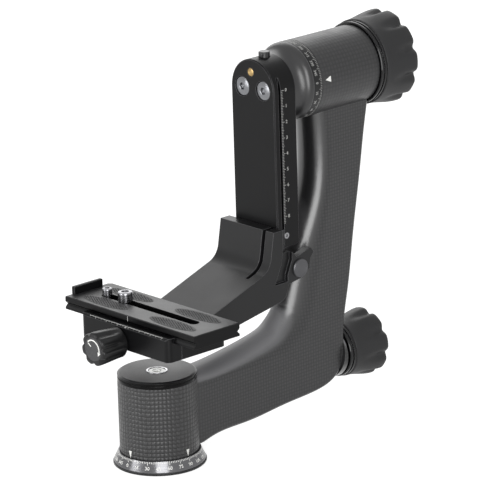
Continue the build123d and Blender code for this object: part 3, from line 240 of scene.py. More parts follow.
def turned_metal(name, colour, roughness, axis, centre, pitch, relief, metallic=1.0, twin=0.0, draw=0.7):
    """Metal off the lathe: fine rings round its axis, so light draws out across them.

    The tool's marks of about 0.1 mm are drawn at the pitch, or they wouldn't show. Two like pieces
    may share it. Their axes then stand twin mm to each side of y = 0.
    """
    material, tree, shader = new_finish(name, colour, roughness, metallic)
    place = add(tree, "ShaderNodeTexCoord").node.outputs["Object"]
    if twin:
        split = add(tree, "ShaderNodeSeparateXYZ", [place]).node.outputs
        side = add(tree, "ShaderNodeMath", [split[1]], operation="SIGN")
        inward = [side, -twin * MM, split[1]]
        inward = add(tree, "ShaderNodeMath", inward, operation="MULTIPLY_ADD")
        place = add(tree, "ShaderNodeCombineXYZ", [split[0], inward, split[2]])
    offset = tuple(-c * MM for c in centre)
    centred = add(tree, "ShaderNodeMapping", {"Vector": place, "Location": offset})
    along = add(tree, "ShaderNodeVectorMath", [centred, axis], operation="DOT_PRODUCT")
    across = add(tree, "ShaderNodeVectorMath", [centred, axis], operation="CROSS_PRODUCT")
    reach = add(tree, "ShaderNodeVectorMath", [across], operation="LENGTH")
    track = add(tree, "ShaderNodeMath", [along, reach], operation="ADD")
    marks = {"W": track, "Scale": 1 / (pitch * MM), "Detail": 2.0}
    rings = add(tree, "ShaderNodeTexNoise", marks, noise_dimensions="1D")
    cloud = add(tree, "ShaderNodeTexNoise", {"Vector": place, "Scale": 1 / (6 * MM), "Detail": 2.0})
    both = add(tree, "ShaderNodeMath", [rings, cloud], operation="ADD")
    spread = {"From Min": 0.6, "From Max": 1.4, "To Min": roughness - 0.08, "To Max": roughness + 0.1}
    sheen = add(tree, "ShaderNodeMapRange", {"Value": both, **spread})
    tree.links.new(sheen, shader.inputs["Roughness"])
    rounded = add(tree, "ShaderNodeBevel", {"Radius": 0.2 * MM}, samples=4)
    bump = add(tree, "ShaderNodeBump", {"Height": rings, "Distance": relief * MM, "Normal": rounded})
    tree.links.new(bump, shader.inputs["Normal"])
    shader.inputs["Anisotropic"].default_value = draw
    shader.inputs["Anisotropic Rotation"].default_value = 0.25
    tree.links.new(across, shader.inputs["Tangent"])
    return material


def tow_field(tree, across, along):
    """Plain-woven tows: their crowned height over the cloth, from places counted in tow widths."""
    one = add(tree, "ShaderNodeMath", [across, pi], operation="MULTIPLY")
    two = add(tree, "ShaderNodeMath", [along, pi], operation="MULTIPLY")
    one = add(tree, "ShaderNodeMath", [one], operation="SINE")
    two = add(tree, "ShaderNodeMath", [two], operation="SINE")
    both = add(tree, "ShaderNodeMath", [one, two], operation="MULTIPLY")
    crown = add(tree, "ShaderNodeMath", [both], operation="ABSOLUTE")
    crown = add(tree, "ShaderNodeMath", [crown, 0.75], operation="POWER")
    # Warp tows stand a little prouder than weft tows, cell by cell.
    sign = add(tree, "ShaderNodeMath", [both], operation="SIGN")
    lift = add(tree, "ShaderNodeMath", [sign, 0.12, 0.88], operation="MULTIPLY_ADD")
    return add(tree, "ShaderNodeMath", [crown, lift], operation="MULTIPLY")


def woven_carbon(name, pattern, depth, dark, crown_sheen_colour, calm=None):
    """Carbon-fibre cloth under a satin clear coat: rows of small crowns on near-black resin, their paler
    colour a painted highlight for the sheen off each tow.

    Where calm is given, it says how much of the cloth shows, and thick smooth resin covers the rest.
    """
    material, tree, shader = new_finish(name, "#1d1d1e", 0.44, specular=0.5)
    place = add(tree, "ShaderNodeTexCoord").node.outputs
    tows = pattern(tree, place)
    if calm:
        cover = calm(tree, place)
        tows = add(tree, "ShaderNodeMath", [tows, cover], operation="MULTIPLY")
    # Painted highlight on a real weave: the tows' crowns are mixed towards the paler colour.
    colour = add(
        tree, "ShaderNodeMix", {"Factor": tows, "A": linear(dark), "B": linear(crown_sheen_colour)}, data_type="RGBA"
    )
    waves = {"Vector": place["Object"], "Scale": 1 / (9 * MM), "Detail": 4.0}
    resin = add(tree, "ShaderNodeTexNoise", waves)
    spread = {"From Min": 0.3, "From Max": 0.7, "To Min": 0.36, "To Max": 0.46}
    sheen = add(tree, "ShaderNodeMapRange", {"Value": resin, **spread})
    if calm:
        # The thick resin is glossy where it stands upright and rubbed matt where it is level, and its level
        # faces are painted pale as light falling on them.
        lift = add(tree, "ShaderNodeSeparateXYZ", [place["Normal"]]).node.outputs["Z"]
        level = add(tree, "ShaderNodeMapRange", {"Value": lift, "From Min": 0.25, "From Max": 0.6})
        crown = add(tree, "ShaderNodeMix", {"Factor": level, "A": 0.3, "B": 0.5})
        # Painted light: level rounded faces are mixed towards a pale grey.
        painted_level_light = add(tree, "ShaderNodeMath", [1.0, cover], operation="SUBTRACT")
        painted_level_light = add(tree, "ShaderNodeMath", [painted_level_light, level], operation="MULTIPLY")
        colour = add(
            tree, "ShaderNodeMix", {"Factor": painted_level_light, "A": colour, "B": linear("#727274")}, data_type="RGBA"
        )
        sheen = add(tree, "ShaderNodeMix", {"Factor": cover, "A": crown, "B": sheen})
        lacquer = add(tree, "ShaderNodeMapRange", {"Value": cover, "To Min": 0.75, "To Max": 0.0})
        rubbed = add(tree, "ShaderNodeMapRange", {"Value": level, "To Min": 1.0, "To Max": 0.12})
        lacquer = add(tree, "ShaderNodeMath", [lacquer, rubbed], operation="MULTIPLY")
        tree.links.new(lacquer, shader.inputs["Coat Weight"])
        shader.inputs["Coat Roughness"].default_value = 0.24
    tree.links.new(colour, shader.inputs["Base Color"])
    tree.links.new(sheen, shader.inputs["Roughness"])
    rounded = add(tree, "ShaderNodeBevel", {"Radius": 0.4 * MM}, samples=4)
    bump = add(tree, "ShaderNodeBump", {"Height": tows, "Distance": depth * MM, "Normal": rounded})
    tree.links.new(bump, shader.inputs["Normal"])
    return material


tow = 2.6  # mm from one crown of the barrels' cloth to the next
arm_tow = 2.15  # the same on the arm
tows_round = 2 * round(pi * barrel_radius / tow)  # an even count, so the cloth meets itself


def wrapped_cloth(axis, height):
    """Cloth laid round a barrel, about Z or about X at a height."""

    def pattern(tree, place):
        side, rise, along = add(tree, "ShaderNodeSeparateXYZ", [place["Object"]]).node.outputs
        if axis == "X":
            lowered = add(tree, "ShaderNodeMath", [along, height * MM], operation="SUBTRACT")
            side, rise, along = rise, lowered, side
        angle = add(tree, "ShaderNodeMath", [rise, side], operation="ARCTAN2")
        turn = tows_round / (2 * pi)
        across = add(tree, "ShaderNodeMath", [angle, turn], operation="MULTIPLY")
        rows = add(tree, "ShaderNodeMath", [along, 1 / (tow * MM)], operation="MULTIPLY")
        return tow_field(tree, across, rows)

    return pattern


def draped_cloth(tree, place):
    """Cloth laid flat on the arm's sides and turned over its rounded faces."""
    scaled = add(
        tree, "ShaderNodeVectorMath", {0: place["Object"], "Scale": 1 / (arm_tow * MM)}, operation="SCALE"
    )
    x, y, z = add(tree, "ShaderNodeSeparateXYZ", [scaled]).node.outputs
    facing = add(tree, "ShaderNodeVectorMath", [place["Normal"]], operation="ABSOLUTE")
    facing = add(tree, "ShaderNodeSeparateXYZ", [facing]).node.outputs
    cloth = tow_field(tree, x, z)
    for axis, turned in ((0, tow_field(tree, y, z)), (2, tow_field(tree, x, y))):
        face = add(tree, "ShaderNodeMapRange", {"Value": facing[axis], "From Min": 0.62, "From Max": 0.74})
        cloth = add(tree, "ShaderNodeMix", {"Factor": face, "A": cloth, "B": turned})
    return cloth


def rounded_faces_calm(tree, place):
    """The cloth shows less where the arm's section rounds over, under thicker resin."""
    across = add(tree, "ShaderNodeSeparateXYZ", [place["Normal"]]).node.outputs["Y"]
    side = add(tree, "ShaderNodeMath", [across], operation="ABSOLUTE")
    turned = {"From Min": 0.90, "From Max": 0.985, "To Min": 0.08}
    return add(tree, "ShaderNodeMapRange", {"Value": side, **turned})


def level_fluid():
    """Spirit under an acrylic window: pale grey-green, wet and clear."""
    material, tree, shader = new_finish("level_spirit_under_acrylic", "#9aa08f", 0.12, specular=0.6)
    weathered(tree, shader, grit=2.0, relief=0.002, spread=0.03, edge=0.1)
    shader.inputs["Coat Weight"].default_value = 0.6
    shader.inputs["Coat Roughness"].default_value = 0.05
    return material


# ======== Trees that grow the repeating and ruled pieces ========
def new_tree(name, **inputs):
    """A geometry tree with its inputs, named by kind, and the outputs of its input node."""
    tree = bpy.data.node_groups.new(name, "GeometryNodeTree")
    for kind, labels in inputs.items():
        for label in labels.split(", "):
            tree.interface.new_socket(label, in_out="INPUT", socket_type="NodeSocket" + kind)
    tree.interface.new_socket("Geometry", in_out="OUTPUT", socket_type="NodeSocketGeometry")
    return tree, add(tree, "NodeGroupInput").node.outputs


def close_tree(tree, geometry, finish):
    """Ends a tree with its instances made real and its finish set, and gives it back."""
    real = add(tree, "GeometryNodeRealizeInstances", {"Geometry": geometry})
    dressed = add(tree, "GeometryNodeSetMaterial", {"Geometry": real, "Material": finish})
    add(tree, "NodeGroupOutput", {"Geometry": dressed})
    return tree


def grown(tree, finish, plain, lengths=None, points=()):
    """The plain mesh that a tree grows from plain values, from lengths in mm and from start points."""
    sizes = {name: length * MM for name, length in (lengths or {}).items()}
    sizes |= {**plain, "Finish": finish}
    seed = bpy.data.meshes.new(tree.name)
    seed.from_pydata([tuple(c * MM for c in point) for point in points], [], [])
    carrier = bpy.data.objects.new(tree.name, seed)
    bpy.context.collection.objects.link(carrier)
    modifier = carrier.modifiers.new(tree.name, "NODES")
    modifier.node_group = tree
    for item in tree.interface.items_tree:
        if item.in_out == "INPUT" and item.name in sizes:
            modifier[item.identifier] = sizes[item.name]
    graph = bpy.context.evaluated_depsgraph_get()
    mesh = bpy.data.meshes.new_from_object(carrier.evaluated_get(graph))
    bpy.data.objects.remove(carrier)
    bpy.data.meshes.remove(seed)
    return mesh


def fluted_turning_tree():
    """A turned form with flutes. Each start point is (place on the axis, radius, depth of the flutes).

    The flutes run along the axis, or wind round it as a thread where Twist isn't 0.
    """
    tree, given = new_tree(
        "fluted_turning",
        Geometry="Geometry",
        Int="Flutes, Steps",
        Float="Phase, Twist, Sharpness",
        Material="Finish",
    )
    count = add(tree, "GeometryNodeAttributeDomainSize", {"Geometry": given["Geometry"]})
    columns = add(tree, "ShaderNodeMath", [given["Steps"], 1.0], operation="ADD")
    sheet = add(tree, "GeometryNodeMeshGrid", {"Vertices X": count, "Vertices Y": columns})
    index = add(tree, "GeometryNodeInputIndex")
    row = add(tree, "ShaderNodeMath", [index, columns], operation="DIVIDE")
    row = add(tree, "ShaderNodeMath", [row, 1e-4], operation="ADD")
    row = add(tree, "ShaderNodeMath", [row], operation="FLOOR")
    done = add(tree, "ShaderNodeMath", [row, columns], operation="MULTIPLY")
    column = add(tree, "ShaderNodeMath", [index, done], operation="SUBTRACT")
    share = add(tree, "ShaderNodeMath", [column, given["Steps"]], operation="DIVIDE")
    angle = add(tree, "ShaderNodeMath", [share, 2 * pi], operation="MULTIPLY")
    station = add(
        tree,
        "GeometryNodeSampleIndex",
        {"Geometry": given["Geometry"], "Value": add(tree, "GeometryNodeInputPosition"), "Index": row},
        data_type="FLOAT_VECTOR",
    )
    station = add(tree, "ShaderNodeSeparateXYZ", [station]).node.outputs
    turned = add(tree, "ShaderNodeMath", [angle, given["Phase"]], operation="SUBTRACT")
    turned = add(tree, "ShaderNodeMath", [turned, given["Flutes"]], operation="MULTIPLY")
    wound = add(tree, "ShaderNodeMath", [station[0], given["Twist"]], operation="MULTIPLY")
    wave = add(tree, "ShaderNodeMath", [turned, wound], operation="SUBTRACT")
    wave = add(tree, "ShaderNodeMath", [wave], operation="COSINE")
    wave = add(tree, "ShaderNodeMath", [wave, 0.5, 0.5], operation="MULTIPLY_ADD")
    wave = add(tree, "ShaderNodeMath", [wave, given["Sharpness"]], operation="POWER")
    cut = add(tree, "ShaderNodeMath", [wave, station[2]], operation="MULTIPLY")
    reach = add(tree, "ShaderNodeMath", [station[1], cut], operation="SUBTRACT")
    round_y = add(tree, "ShaderNodeMath", [angle], operation="COSINE")
    round_z = add(tree, "ShaderNodeMath", [angle], operation="SINE")
    place_y = add(tree, "ShaderNodeMath", [reach, round_y], operation="MULTIPLY")
    place_z = add(tree, "ShaderNodeMath", [reach, round_z], operation="MULTIPLY")
    place = add(tree, "ShaderNodeCombineXYZ", [station[0], place_y, place_z])
    formed = add(tree, "GeometryNodeSetPosition", {"Geometry": sheet, "Position": place})
    closed = add(tree, "GeometryNodeMergeByDistance", {"Geometry": formed, "Distance": 1e-6})
    return close_tree(tree, closed, given["Finish"])


def dial_ticks_tree():
    """Ticks round Z that hang from a ring's edge and lean with its slope, every so many a long one."""
    tree, given = new_tree(
        "dial_ticks",
        Int="Ticks, Long Every",
        Float="Edge Radius, Edge Height, Lean, Tick Width, Short Tick, Long Tick",
        Material="Finish",
    )
    index = add(tree, "GeometryNodeInputIndex")
    step = add(tree, "ShaderNodeMath", [2 * pi, given["Ticks"]], operation="DIVIDE")
    heading = add(tree, "ShaderNodeMath", [index, step], operation="MULTIPLY")
    turn = add(tree, "ShaderNodeCombineXYZ", {2: heading})
    place = add(tree, "ShaderNodeCombineXYZ", {0: given["Edge Radius"], 2: given["Edge Height"]})
    lean = add(tree, "ShaderNodeCombineXYZ", {1: given["Lean"]})
    rest = add(tree, "ShaderNodeMath", [index, given["Long Every"]], operation="MODULO")
    is_long = add(tree, "ShaderNodeMath", [rest, 0.5], operation="LESS_THAN")
    is_short = add(tree, "ShaderNodeMath", [1.0, is_long], operation="SUBTRACT")
    spots = add(tree, "GeometryNodeMeshLine", {"Count": given["Ticks"], "Offset": (0, 0, 0)})
    ink_height = print_height * MM
    rows = []
    for length, chosen in ((given["Short Tick"], is_short), (given["Long Tick"], is_long)):
        size = add(tree, "ShaderNodeCombineXYZ", [ink_height, given["Tick Width"], length])
        block = add(tree, "GeometryNodeMeshCube", {"Size": size})
        drop = add(tree, "ShaderNodeMath", [length, -0.5], operation="MULTIPLY")
        shift = add(tree, "ShaderNodeCombineXYZ", {0: ink_height / 2, 2: drop})
        hung = add(tree, "GeometryNodeTransform", {"Geometry": block, "Translation": shift})
        leaned = {"Geometry": hung, "Translation": place, "Rotation": lean}
        leaned = add(tree, "GeometryNodeTransform", leaned)
        ring = {"Points": spots, "Selection": chosen, "Instance": leaned, "Rotation": turn}
        rows.append(add(tree, "GeometryNodeInstanceOnPoints", ring))
    both = add(tree, "GeometryNodeJoinGeometry")
    for row in rows:
        tree.links.new(row, both.node.inputs[0])
    return close_tree(tree, both, given["Finish"])


def rule_ticks_tree():
    """Ticks of a straight rule: they start on the line x = 0 and follow each other down the y axis."""
    tree, given = new_tree(
        "rule_ticks",
        Int="Ticks, Middle Every, Long Every",
        Float="Spacing, Tick Width, Short Tick, Middle Tick, Long Tick",
        Material="Finish",
    )
    index = add(tree, "GeometryNodeInputIndex")
    down = add(tree, "ShaderNodeMath", [given["Spacing"], -1.0], operation="MULTIPLY")
    step = add(tree, "ShaderNodeCombineXYZ", {1: down})
    spots = add(tree, "GeometryNodeMeshLine", {"Count": given["Ticks"], "Offset": step})
    marks = []
    for every in ("Middle Every", "Long Every"):
        rest = add(tree, "ShaderNodeMath", [index, given[every]], operation="MODULO")
        marks.append(add(tree, "ShaderNodeMath", [rest, 0.5], operation="LESS_THAN"))
    grow = given["Short Tick"]
    for mark, longer in zip(marks, ("Middle Tick", "Long Tick")):
        grow = add(tree, "ShaderNodeMix", {"Factor": mark, "A": grow, "B": given[longer]})
    block = add(tree, "GeometryNodeMeshCube", {"Size": (1, 1, 1)})
    block = add(tree, "GeometryNodeTransform", {"Geometry": block, "Translation": (0.5, 0, 0.5)})
    size = add(tree, "ShaderNodeCombineXYZ", [grow, given["Tick Width"], print_height * MM])
    ticks = add(tree, "GeometryNodeInstanceOnPoints", {"Points": spots, "Instance": block, "Scale": size})
    return close_tree(tree, ticks, given["Finish"])


def pad_dots_tree():
    """Low domes set in staggered rows over an oval."""
    tree, given = new_tree(
        "pad_dots", Float="Half Width, Half Length, Pitch, Dot Radius, Dot Height", Material="Finish"
    )
    row_pitch = 0.8660254  # of the pitch, from one staggered row to the next
    sheet_sizes = []
    counts = []
    for half, share in (("Half Width", 1.0), ("Half Length", row_pitch)):
        pitch = add(tree, "ShaderNodeMath", [given["Pitch"], share], operation="MULTIPLY")
        steps = add(tree, "ShaderNodeMath", [given[half], pitch], operation="DIVIDE")
        steps = add(tree, "ShaderNodeMath", [steps], operation="CEIL")
        twice = add(tree, "ShaderNodeMath", [steps, 2.0], operation="MULTIPLY")
        counts.append(add(tree, "ShaderNodeMath", [twice, 1.0], operation="ADD"))
        sheet_sizes.append(add(tree, "ShaderNodeMath", [twice, pitch], operation="MULTIPLY"))
    across, along = sheet_sizes
    grid = {"Size X": across, "Size Y": along, "Vertices X": counts[0], "Vertices Y": counts[1]}
    sheet = add(tree, "GeometryNodeMeshGrid", grid)
    index = add(tree, "GeometryNodeInputIndex")
    row = add(tree, "ShaderNodeMath", [index, counts[1]], operation="MODULO")
    odd = add(tree, "ShaderNodeMath", [row, 2.0], operation="MODULO")
    half_pitch = add(tree, "ShaderNodeMath", [given["Pitch"], 0.5], operation="MULTIPLY")
    push = add(tree, "ShaderNodeMath", [odd, half_pitch], operation="MULTIPLY")
    offset = add(tree, "ShaderNodeCombineXYZ", [push])
    staggered = add(tree, "GeometryNodeSetPosition", {"Geometry": sheet, "Offset": offset})
    spot = add(tree, "ShaderNodeSeparateXYZ", [add(tree, "GeometryNodeInputPosition")]).node.outputs
    reach = []
    for part, half in ((spot[0], "Half Width"), (spot[1], "Half Length")):
        room = add(tree, "ShaderNodeMath", [given[half], given["Dot Radius"]], operation="SUBTRACT")
        share = add(tree, "ShaderNodeMath", [part, room], operation="DIVIDE")
        reach.append(add(tree, "ShaderNodeMath", [share, 2.0], operation="POWER"))
    total = add(tree, "ShaderNodeMath", [reach[0], reach[1]], operation="ADD")
    inside = add(tree, "ShaderNodeMath", [total, 1.0], operation="LESS_THAN")
    dome = add(tree, "GeometryNodeMeshIcoSphere", {"Radius": 1.0, "Subdivisions": 1})
    radius = given["Dot Radius"]
    size = add(tree, "ShaderNodeCombineXYZ", [radius, radius, given["Dot Height"]])
    chosen = {"Points": staggered, "Selection": inside, "Instance": dome, "Scale": size}
    dots = add(tree, "GeometryNodeInstanceOnPoints", chosen)
    return close_tree(tree, dots, given["Finish"])


fluted_turning = fluted_turning_tree()
dial_ticks = dial_ticks_tree()
rule_ticks = rule_ticks_tree()
pad_dots = pad_dots_tree()


def turning(points, finish, place, flutes=0, phase=0.0, pitch=None, sharpness=1.0, steps=64):
    """A turned mesh from (place, radius, flute depth) points, threaded where it has a pitch.

    It grows about +X and is then carried to its place.
    """
    plain = {
        "Flutes": 1 if pitch else flutes,
        "Phase": radians(phase),
        "Twist": 2 * pi / (pitch * MM) if pitch else 0.0,
        "Sharpness": float(sharpness),
        "Steps": steps,
    }
    mesh = grown(fluted_turning, finish, plain, points=points)
    mesh.transform(place)
    return mesh


def about(x=0, y=0, z=0, axis="X"):
    """Carries a turning onto its axis: along X, -X, Z or -Y, through a point."""
    turns = {
        "X": Matrix.Identity(4),
        "-X": Matrix.Rotation(pi, 4, "Z"),
        "Z": Matrix.Rotation(-pi / 2, 4, "Y"),
        "-Y": Matrix.Rotation(-pi / 2, 4, "Z"),
    }
    return Matrix.Translation((x * MM, y * MM, z * MM)) @ turns[axis]


# ======== The finishes in use ========
along_x, along_y, along_z = (1, 0, 0), (0, 1, 0), (0, 0, 1)
# Aluminium, bead-blasted then anodised black: dark, satin, and paler along its edges, painted as both
# rubbed wear and edge highlight. The blasting's 0.1 mm pits are drawn at 0.6 mm, or they wouldn't show.
blasted = (0.6, 0.012, 0.05, "#77777a", 0.6)
anodising = plain_finish("blasted_black_anodising", "#151516", 0.38, 0.26, *blasted)
hub_anodising = plain_finish("fine_blasted_anodising", "#1d1d1e", 0.34, 0.6, *blasted)
plate_anodising = plain_finish("satin_black_anodising", "#0d0d0e", 0.34, 0.14, *blasted)
# Black anodising on blasted tops and milled sides: matt above and smooth beside, with painted light that
# makes the tops paler and the sides darker.
frosted_anodising = topped_anodising("frosted_black_anodising", "#1e1e1f", "#0a0a0b", 0.44, 0.32, 0.5, 0.12)
lid_anodising = topped_anodising("lid_black_anodising", "#202021", "#040404", 0.42, 0.12, 0.62, 0.12)
# Aluminium, turned fine and anodised black: dark with tight bright lines of reflection. Its edges are
# painted paler, as wear and as highlight.
polished = plain_finish("polished_black_anodising", "#050506", 0.10, 0.3, 1.2, 0.003, 0.04, "#6a6a6c", 0.25)
# Nitrile rubber moulded over a core: soft grey-black with a spark-eroded mould's grain. Its edges are
# painted paler, as wear and as highlight.
rubber = plain_finish("moulded_nitrile_rubber", "#1f1f20", 0.52, 0.35, 0.7, 0.02, 0.07, "#3a3a3b", 0.5)
# Anodised aluminium ring, brushed round: grey with a lathe's silky lines.
ring_metal = turned_metal(
    "brushed_scale_ring", "#666668", 0.19, along_z, (0, 0, 0), 0.5, 0.012, metallic=0.9, draw=0.0
)
# Enamel ink filled into fine engraving: off-white, matt, a little uneven. The dark one is glossier.
ink = plain_finish("white_enamel_ink", "#f0f0ec", 0.55, 0.3, 0.3, 0.01, 0.1, None, 0.02)
dark_ink = plain_finish("black_enamel_ink", "#101010", 0.4, 0.5, 0.3, 0.005, 0.08, None, 0.02)
# Engraving left as bare bright metal: grey, matt and fine.
engraving = plain_finish("laser_engraved_grey", "#a9a9a7", 0.5, 0.3, 0.3, 0.01, 0.1, None, 0.02)
# Neoprene pad moulded with fine dots: matt dark grey that scatters light.
neoprene = plain_finish("dotted_neoprene", "#2a2a2b", 0.6, 0.5, 0.5, 0.03, 0.08, None, 0.2)
fluid = level_fluid()
# An air bubble pressed against the window: bright, with a wet gleam.
bubble = plain_finish("air_bubble", "#e8ebe2", 0.08, 0.8, 1.0, 0.001, 0.02, None, 0.05)
# The paler colour of each cloth is the painted sheen on its tows' crowns.
base_carbon = woven_carbon("woven_carbon_base", wrapped_cloth("Z", 0), 0.42, "#090909", "#39393a")
tilt_carbon = woven_carbon("woven_carbon_tilt", wrapped_cloth("X", tilt_z), 0.05, "#19191a", "#2b2b2c")
arm_carbon = woven_carbon("woven_carbon_arm", draped_cloth, 0.05, "#161617", "#313132", rounded_faces_calm)
# Turned, ground and rolled metals: each catches light along its rings, bright steel to warm brass.
pan_steel = turned_metal("turned_steel_pan", "#b4b4b6", 0.32, along_z, (0, 0, 0), 0.4, 0.01)
tilt_steel = turned_metal("turned_steel_tilt", "#b4b4b6", 0.32, along_x, (0, 0, tilt_z), 0.4, 0.01)
lock_steel = turned_metal("turned_steel_lock", "#b4b4b6", 0.32, along_x, (0, 0, lock_z), 0.4, 0.01)
pan_aluminium = turned_metal("turned_aluminium_pan", "#c4c4c6", 0.34, along_z, (0, 0, 0), 0.6, 0.012)
tilt_aluminium = turned_metal("turned_aluminium_tilt", "#c4c4c6", 0.34, along_x, (0, 0, tilt_z), 0.6, 0.012)
pan_bearing = turned_metal("ground_bearing_pan", "#c9c9cb", 0.16, along_z, (0, 0, 0), 0.3, 0.003)
tilt_bearing = turned_metal("ground_bearing_tilt", "#c9c9cb", 0.16, along_x, (0, 0, tilt_z), 0.3, 0.003)
lock_brass = turned_metal("turned_brass_lock", "#b98f43", 0.3, along_x, (0, 0, lock_z), 0.4, 0.01)
tilt_brass = turned_metal("turned_brass_tilt", "#b98f43", 0.3, along_x, (0, 0, tilt_z), 0.4, 0.01)
pin_brass = turned_metal("turned_brass_pin", "#a48b5f", 0.38, along_x, pin_end, 0.5, 0.01)
stud_steel = turned_metal("rolled_steel_studs", "#8f8f92", 0.20, along_z, (0, large_stud_y, 97), 0.5, 0.002)
between_screws = (rail_face_x, 0, rail_screw_z)
screw_steel = turned_metal(
    "turned_steel_screws", "#7c7d80", 0.22, along_x, between_screws, 1.6, 0.16, twin=rail_screw_y
)
# Steel blackened in a hot bath: dark brown-black with a soft oily gleam. Its edges are painted paler, as
# wear and as highlight.
blackened = plain_finish("hot_blackened_steel", "#161617", 0.3, 0.5, 0.5, 0.006, 0.06, "#6a6a6a", 0.2)
# Glass-filled nylon from a smooth mould: black, hard, with a faint gleam. Its edges are painted paler, as
# wear and as highlight.
hard_nylon = plain_finish("moulded_black_nylon", "#101011", 0.34, 0.3, 0.8, 0.01, 0.06, "#4a4a4b", 0.4)
# The same with a coarse moulded grain: mid grey, broken up by small dark pits.
nylon = plain_finish("grained_grey_nylon", "#3c3c3d", 0.6, 0.4, 0.9, 0.12, 0.1, None, 0.2)
stop_steel = turned_metal("turned_steel_stop", "#8c8c8e", 0.35, along_y, (93.1, -19, 126.6), 0.3, 0.01)
plug_steel = turned_metal("turned_steel_plug", "#565658", 0.36, along_y, plug_end, 0.6, 0.01)
pin_steel = turned_metal("turned_steel_pins", "#a2a2a4", 0.35, along_x, (-12, *clamp_knob_axis), 0.4, 0.01)
clamp_steel = turned_metal("zinc_plated_screws", "#9a9a9c", 0.38, along_z, (13.5, 0, 80), 0.5, 0.01)

for finish, names in (
    (anodising, "base_plate pan_knob_cap tilt_knob_cap tilt_scale_ring carriage_bracket"),
    (ring_metal, "pan_scale_ring"),
    (pan_aluminium, "pan_spindle base_liner level_housing"),
    (pan_steel, "pan_retaining_nut base_screws"),
    (arm_carbon, "l_arm"),
    (base_carbon, "base_barrel"),
    (tilt_carbon, "tilt_barrel"),
    (pan_bearing, "pan_lower_bearing pan_upper_bearing"),
    (lid_anodising, "base_cap"),
    (fluid, "level_vial"),
    (tilt_aluminium, "tilt_liner"),
    (tilt_bearing, "tilt_front_bearing tilt_rear_bearing"),
    (lock_brass, "pan_lock_bush pan_brake_shoe"),
    (lock_steel, "pan_lock_rod pan_knob_screw"),
    (polished, "pan_knob_collar tilt_knob_collar"),
    (tilt_brass, "tilt_knob_insert"),
    (tilt_steel, "tilt_spindle tilt_retaining_nut"),
    (hub_anodising, "tilt_hub"),
    (plate_anodising, "swing_rail clamp_base moving_jaw plate_lip"),
    (stop_steel, "rail_stop_screw"),
    (blackened, "rail_button"),
    (neoprene, "friction_pads plate_grip_pads"),
    (plug_steel, "friction_plug height_lock_screw"),
    (clamp_steel, "clamp_screws plate_stop_screws"),
    (pin_steel, "jaw_guide_pins clamp_knob_screw"),
    (rubber, "height_lock_knob"),
    (frosted_anodising, "lens_plate"),
    (stud_steel, "large_screw_washer small_screw_washer"),
):
    for name in names.split():
        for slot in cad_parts[name].material_slots:
            slot.material = finish


# ======== The two dials and their pointers ========
pan_edge_radius = 25.4  # the ring's top edge
pan_edge_z = 8.3
pan_foot_radius = 28.2
pan_foot_z = 2.2
pan_slope = atan2(pan_foot_radius - pan_edge_radius, pan_edge_z - pan_foot_z)
pan_zero = -178.2  # degrees, where the dial reads 0
pan_digits_drop = 4.35  # from the edge down the slope to the digits' middle
tilt_digits_drop = 4.3


def on_pan_ring(degrees, x, y, z):
    """x runs round the ring's edge from a reading, y up its slope from its digits' middle, z out of it."""
    angle = (radians(pan_zero + degrees) * pan_edge_radius + x) / pan_edge_radius
    drop = pan_digits_drop - y
    reach = pan_edge_radius + drop * sin(pan_slope) + z * cos(pan_slope)
    return reach * cos(angle), reach * sin(angle), pan_edge_z - drop * cos(pan_slope) + z * sin(pan_slope)


tilt_edge_x = 121.4
tilt_zero = 5.0  # degrees above -Y, where the dial reads 0


def on_tilt_ring(degrees, x, y, z):
    """x runs down the near side from a reading, y towards +X, z out of the barrel."""
    angle = radians(tilt_zero) - (radians(degrees) * barrel_radius + x) / barrel_radius
    reach = barrel_radius + z
    return tilt_edge_x - tilt_digits_drop + y, -reach * cos(angle), tilt_z + reach * sin(angle)


def dial(finish, lean, lengths, place, digits_height, on_ring):
    """Ticks that hang from a ring's edge, and a number at every long one."""
    plain = {"Ticks": ticks_per_number * dial_numbers, "Long Every": ticks_per_number, "Lean": lean}
    marks = [grown(dial_ticks, finish, plain, lengths)]
    marks[0].transform(place)
    for number in range(dial_numbers):
        degrees = dial_step * number
        digits = figure(str(degrees), digits_height)
        marks.append(moulded(digits, lambda x, y, z, degrees=degrees: on_ring(degrees, x, y, z)))
    return marks


def pan_dial():
    """The dial on the base's leaning ring."""
    edge = {"Edge Radius": pan_edge_radius + 0.10, "Edge Height": pan_edge_z - 0.25}
    ticks = {"Tick Width": 0.34, "Short Tick": 1.15, "Long Tick": 2.1}
    place = Matrix.Rotation(radians(pan_zero), 4, "Z")
    return dial(ink, -pan_slope, edge | ticks, place, 2.0, on_pan_ring)


def tilt_dial():
    """The same dial on the swing's ring, its ticks against the arm."""
    edge = {"Edge Radius": barrel_radius, "Edge Height": 0.0}
    ticks = {"Tick Width": 0.28, "Short Tick": 1.3, "Long Tick": 2.3}
    place = Matrix.Translation(((tilt_edge_x - 0.2) * MM, 0, tilt_z * MM)) @ Matrix.Rotation(pi / 2, 4, "Y")
    place = place @ Matrix.Rotation(radians(90 + tilt_zero), 4, "Z")
    return dial(engraving, 0.0, edge | ticks, place, 1.8, on_tilt_ring)


def pointer(width, length, strips=8):
    """A long triangle that points down y, in strips so that it can be laid round a barrel."""
    faces = []
    edges = [width * (at / strips - 0.5) for at in range(strips + 1)]
    for left, right in zip(edges, edges[1:]):
        low = [-length + 2 * length * abs(x) / width for x in (left, right)]
        faces.append([(left, 0), (left, low[0]), (right, low[1]), (right, 0)])
    return slab([[p for at, p in enumerate(face) if p not in face[:at]] for face in faces])


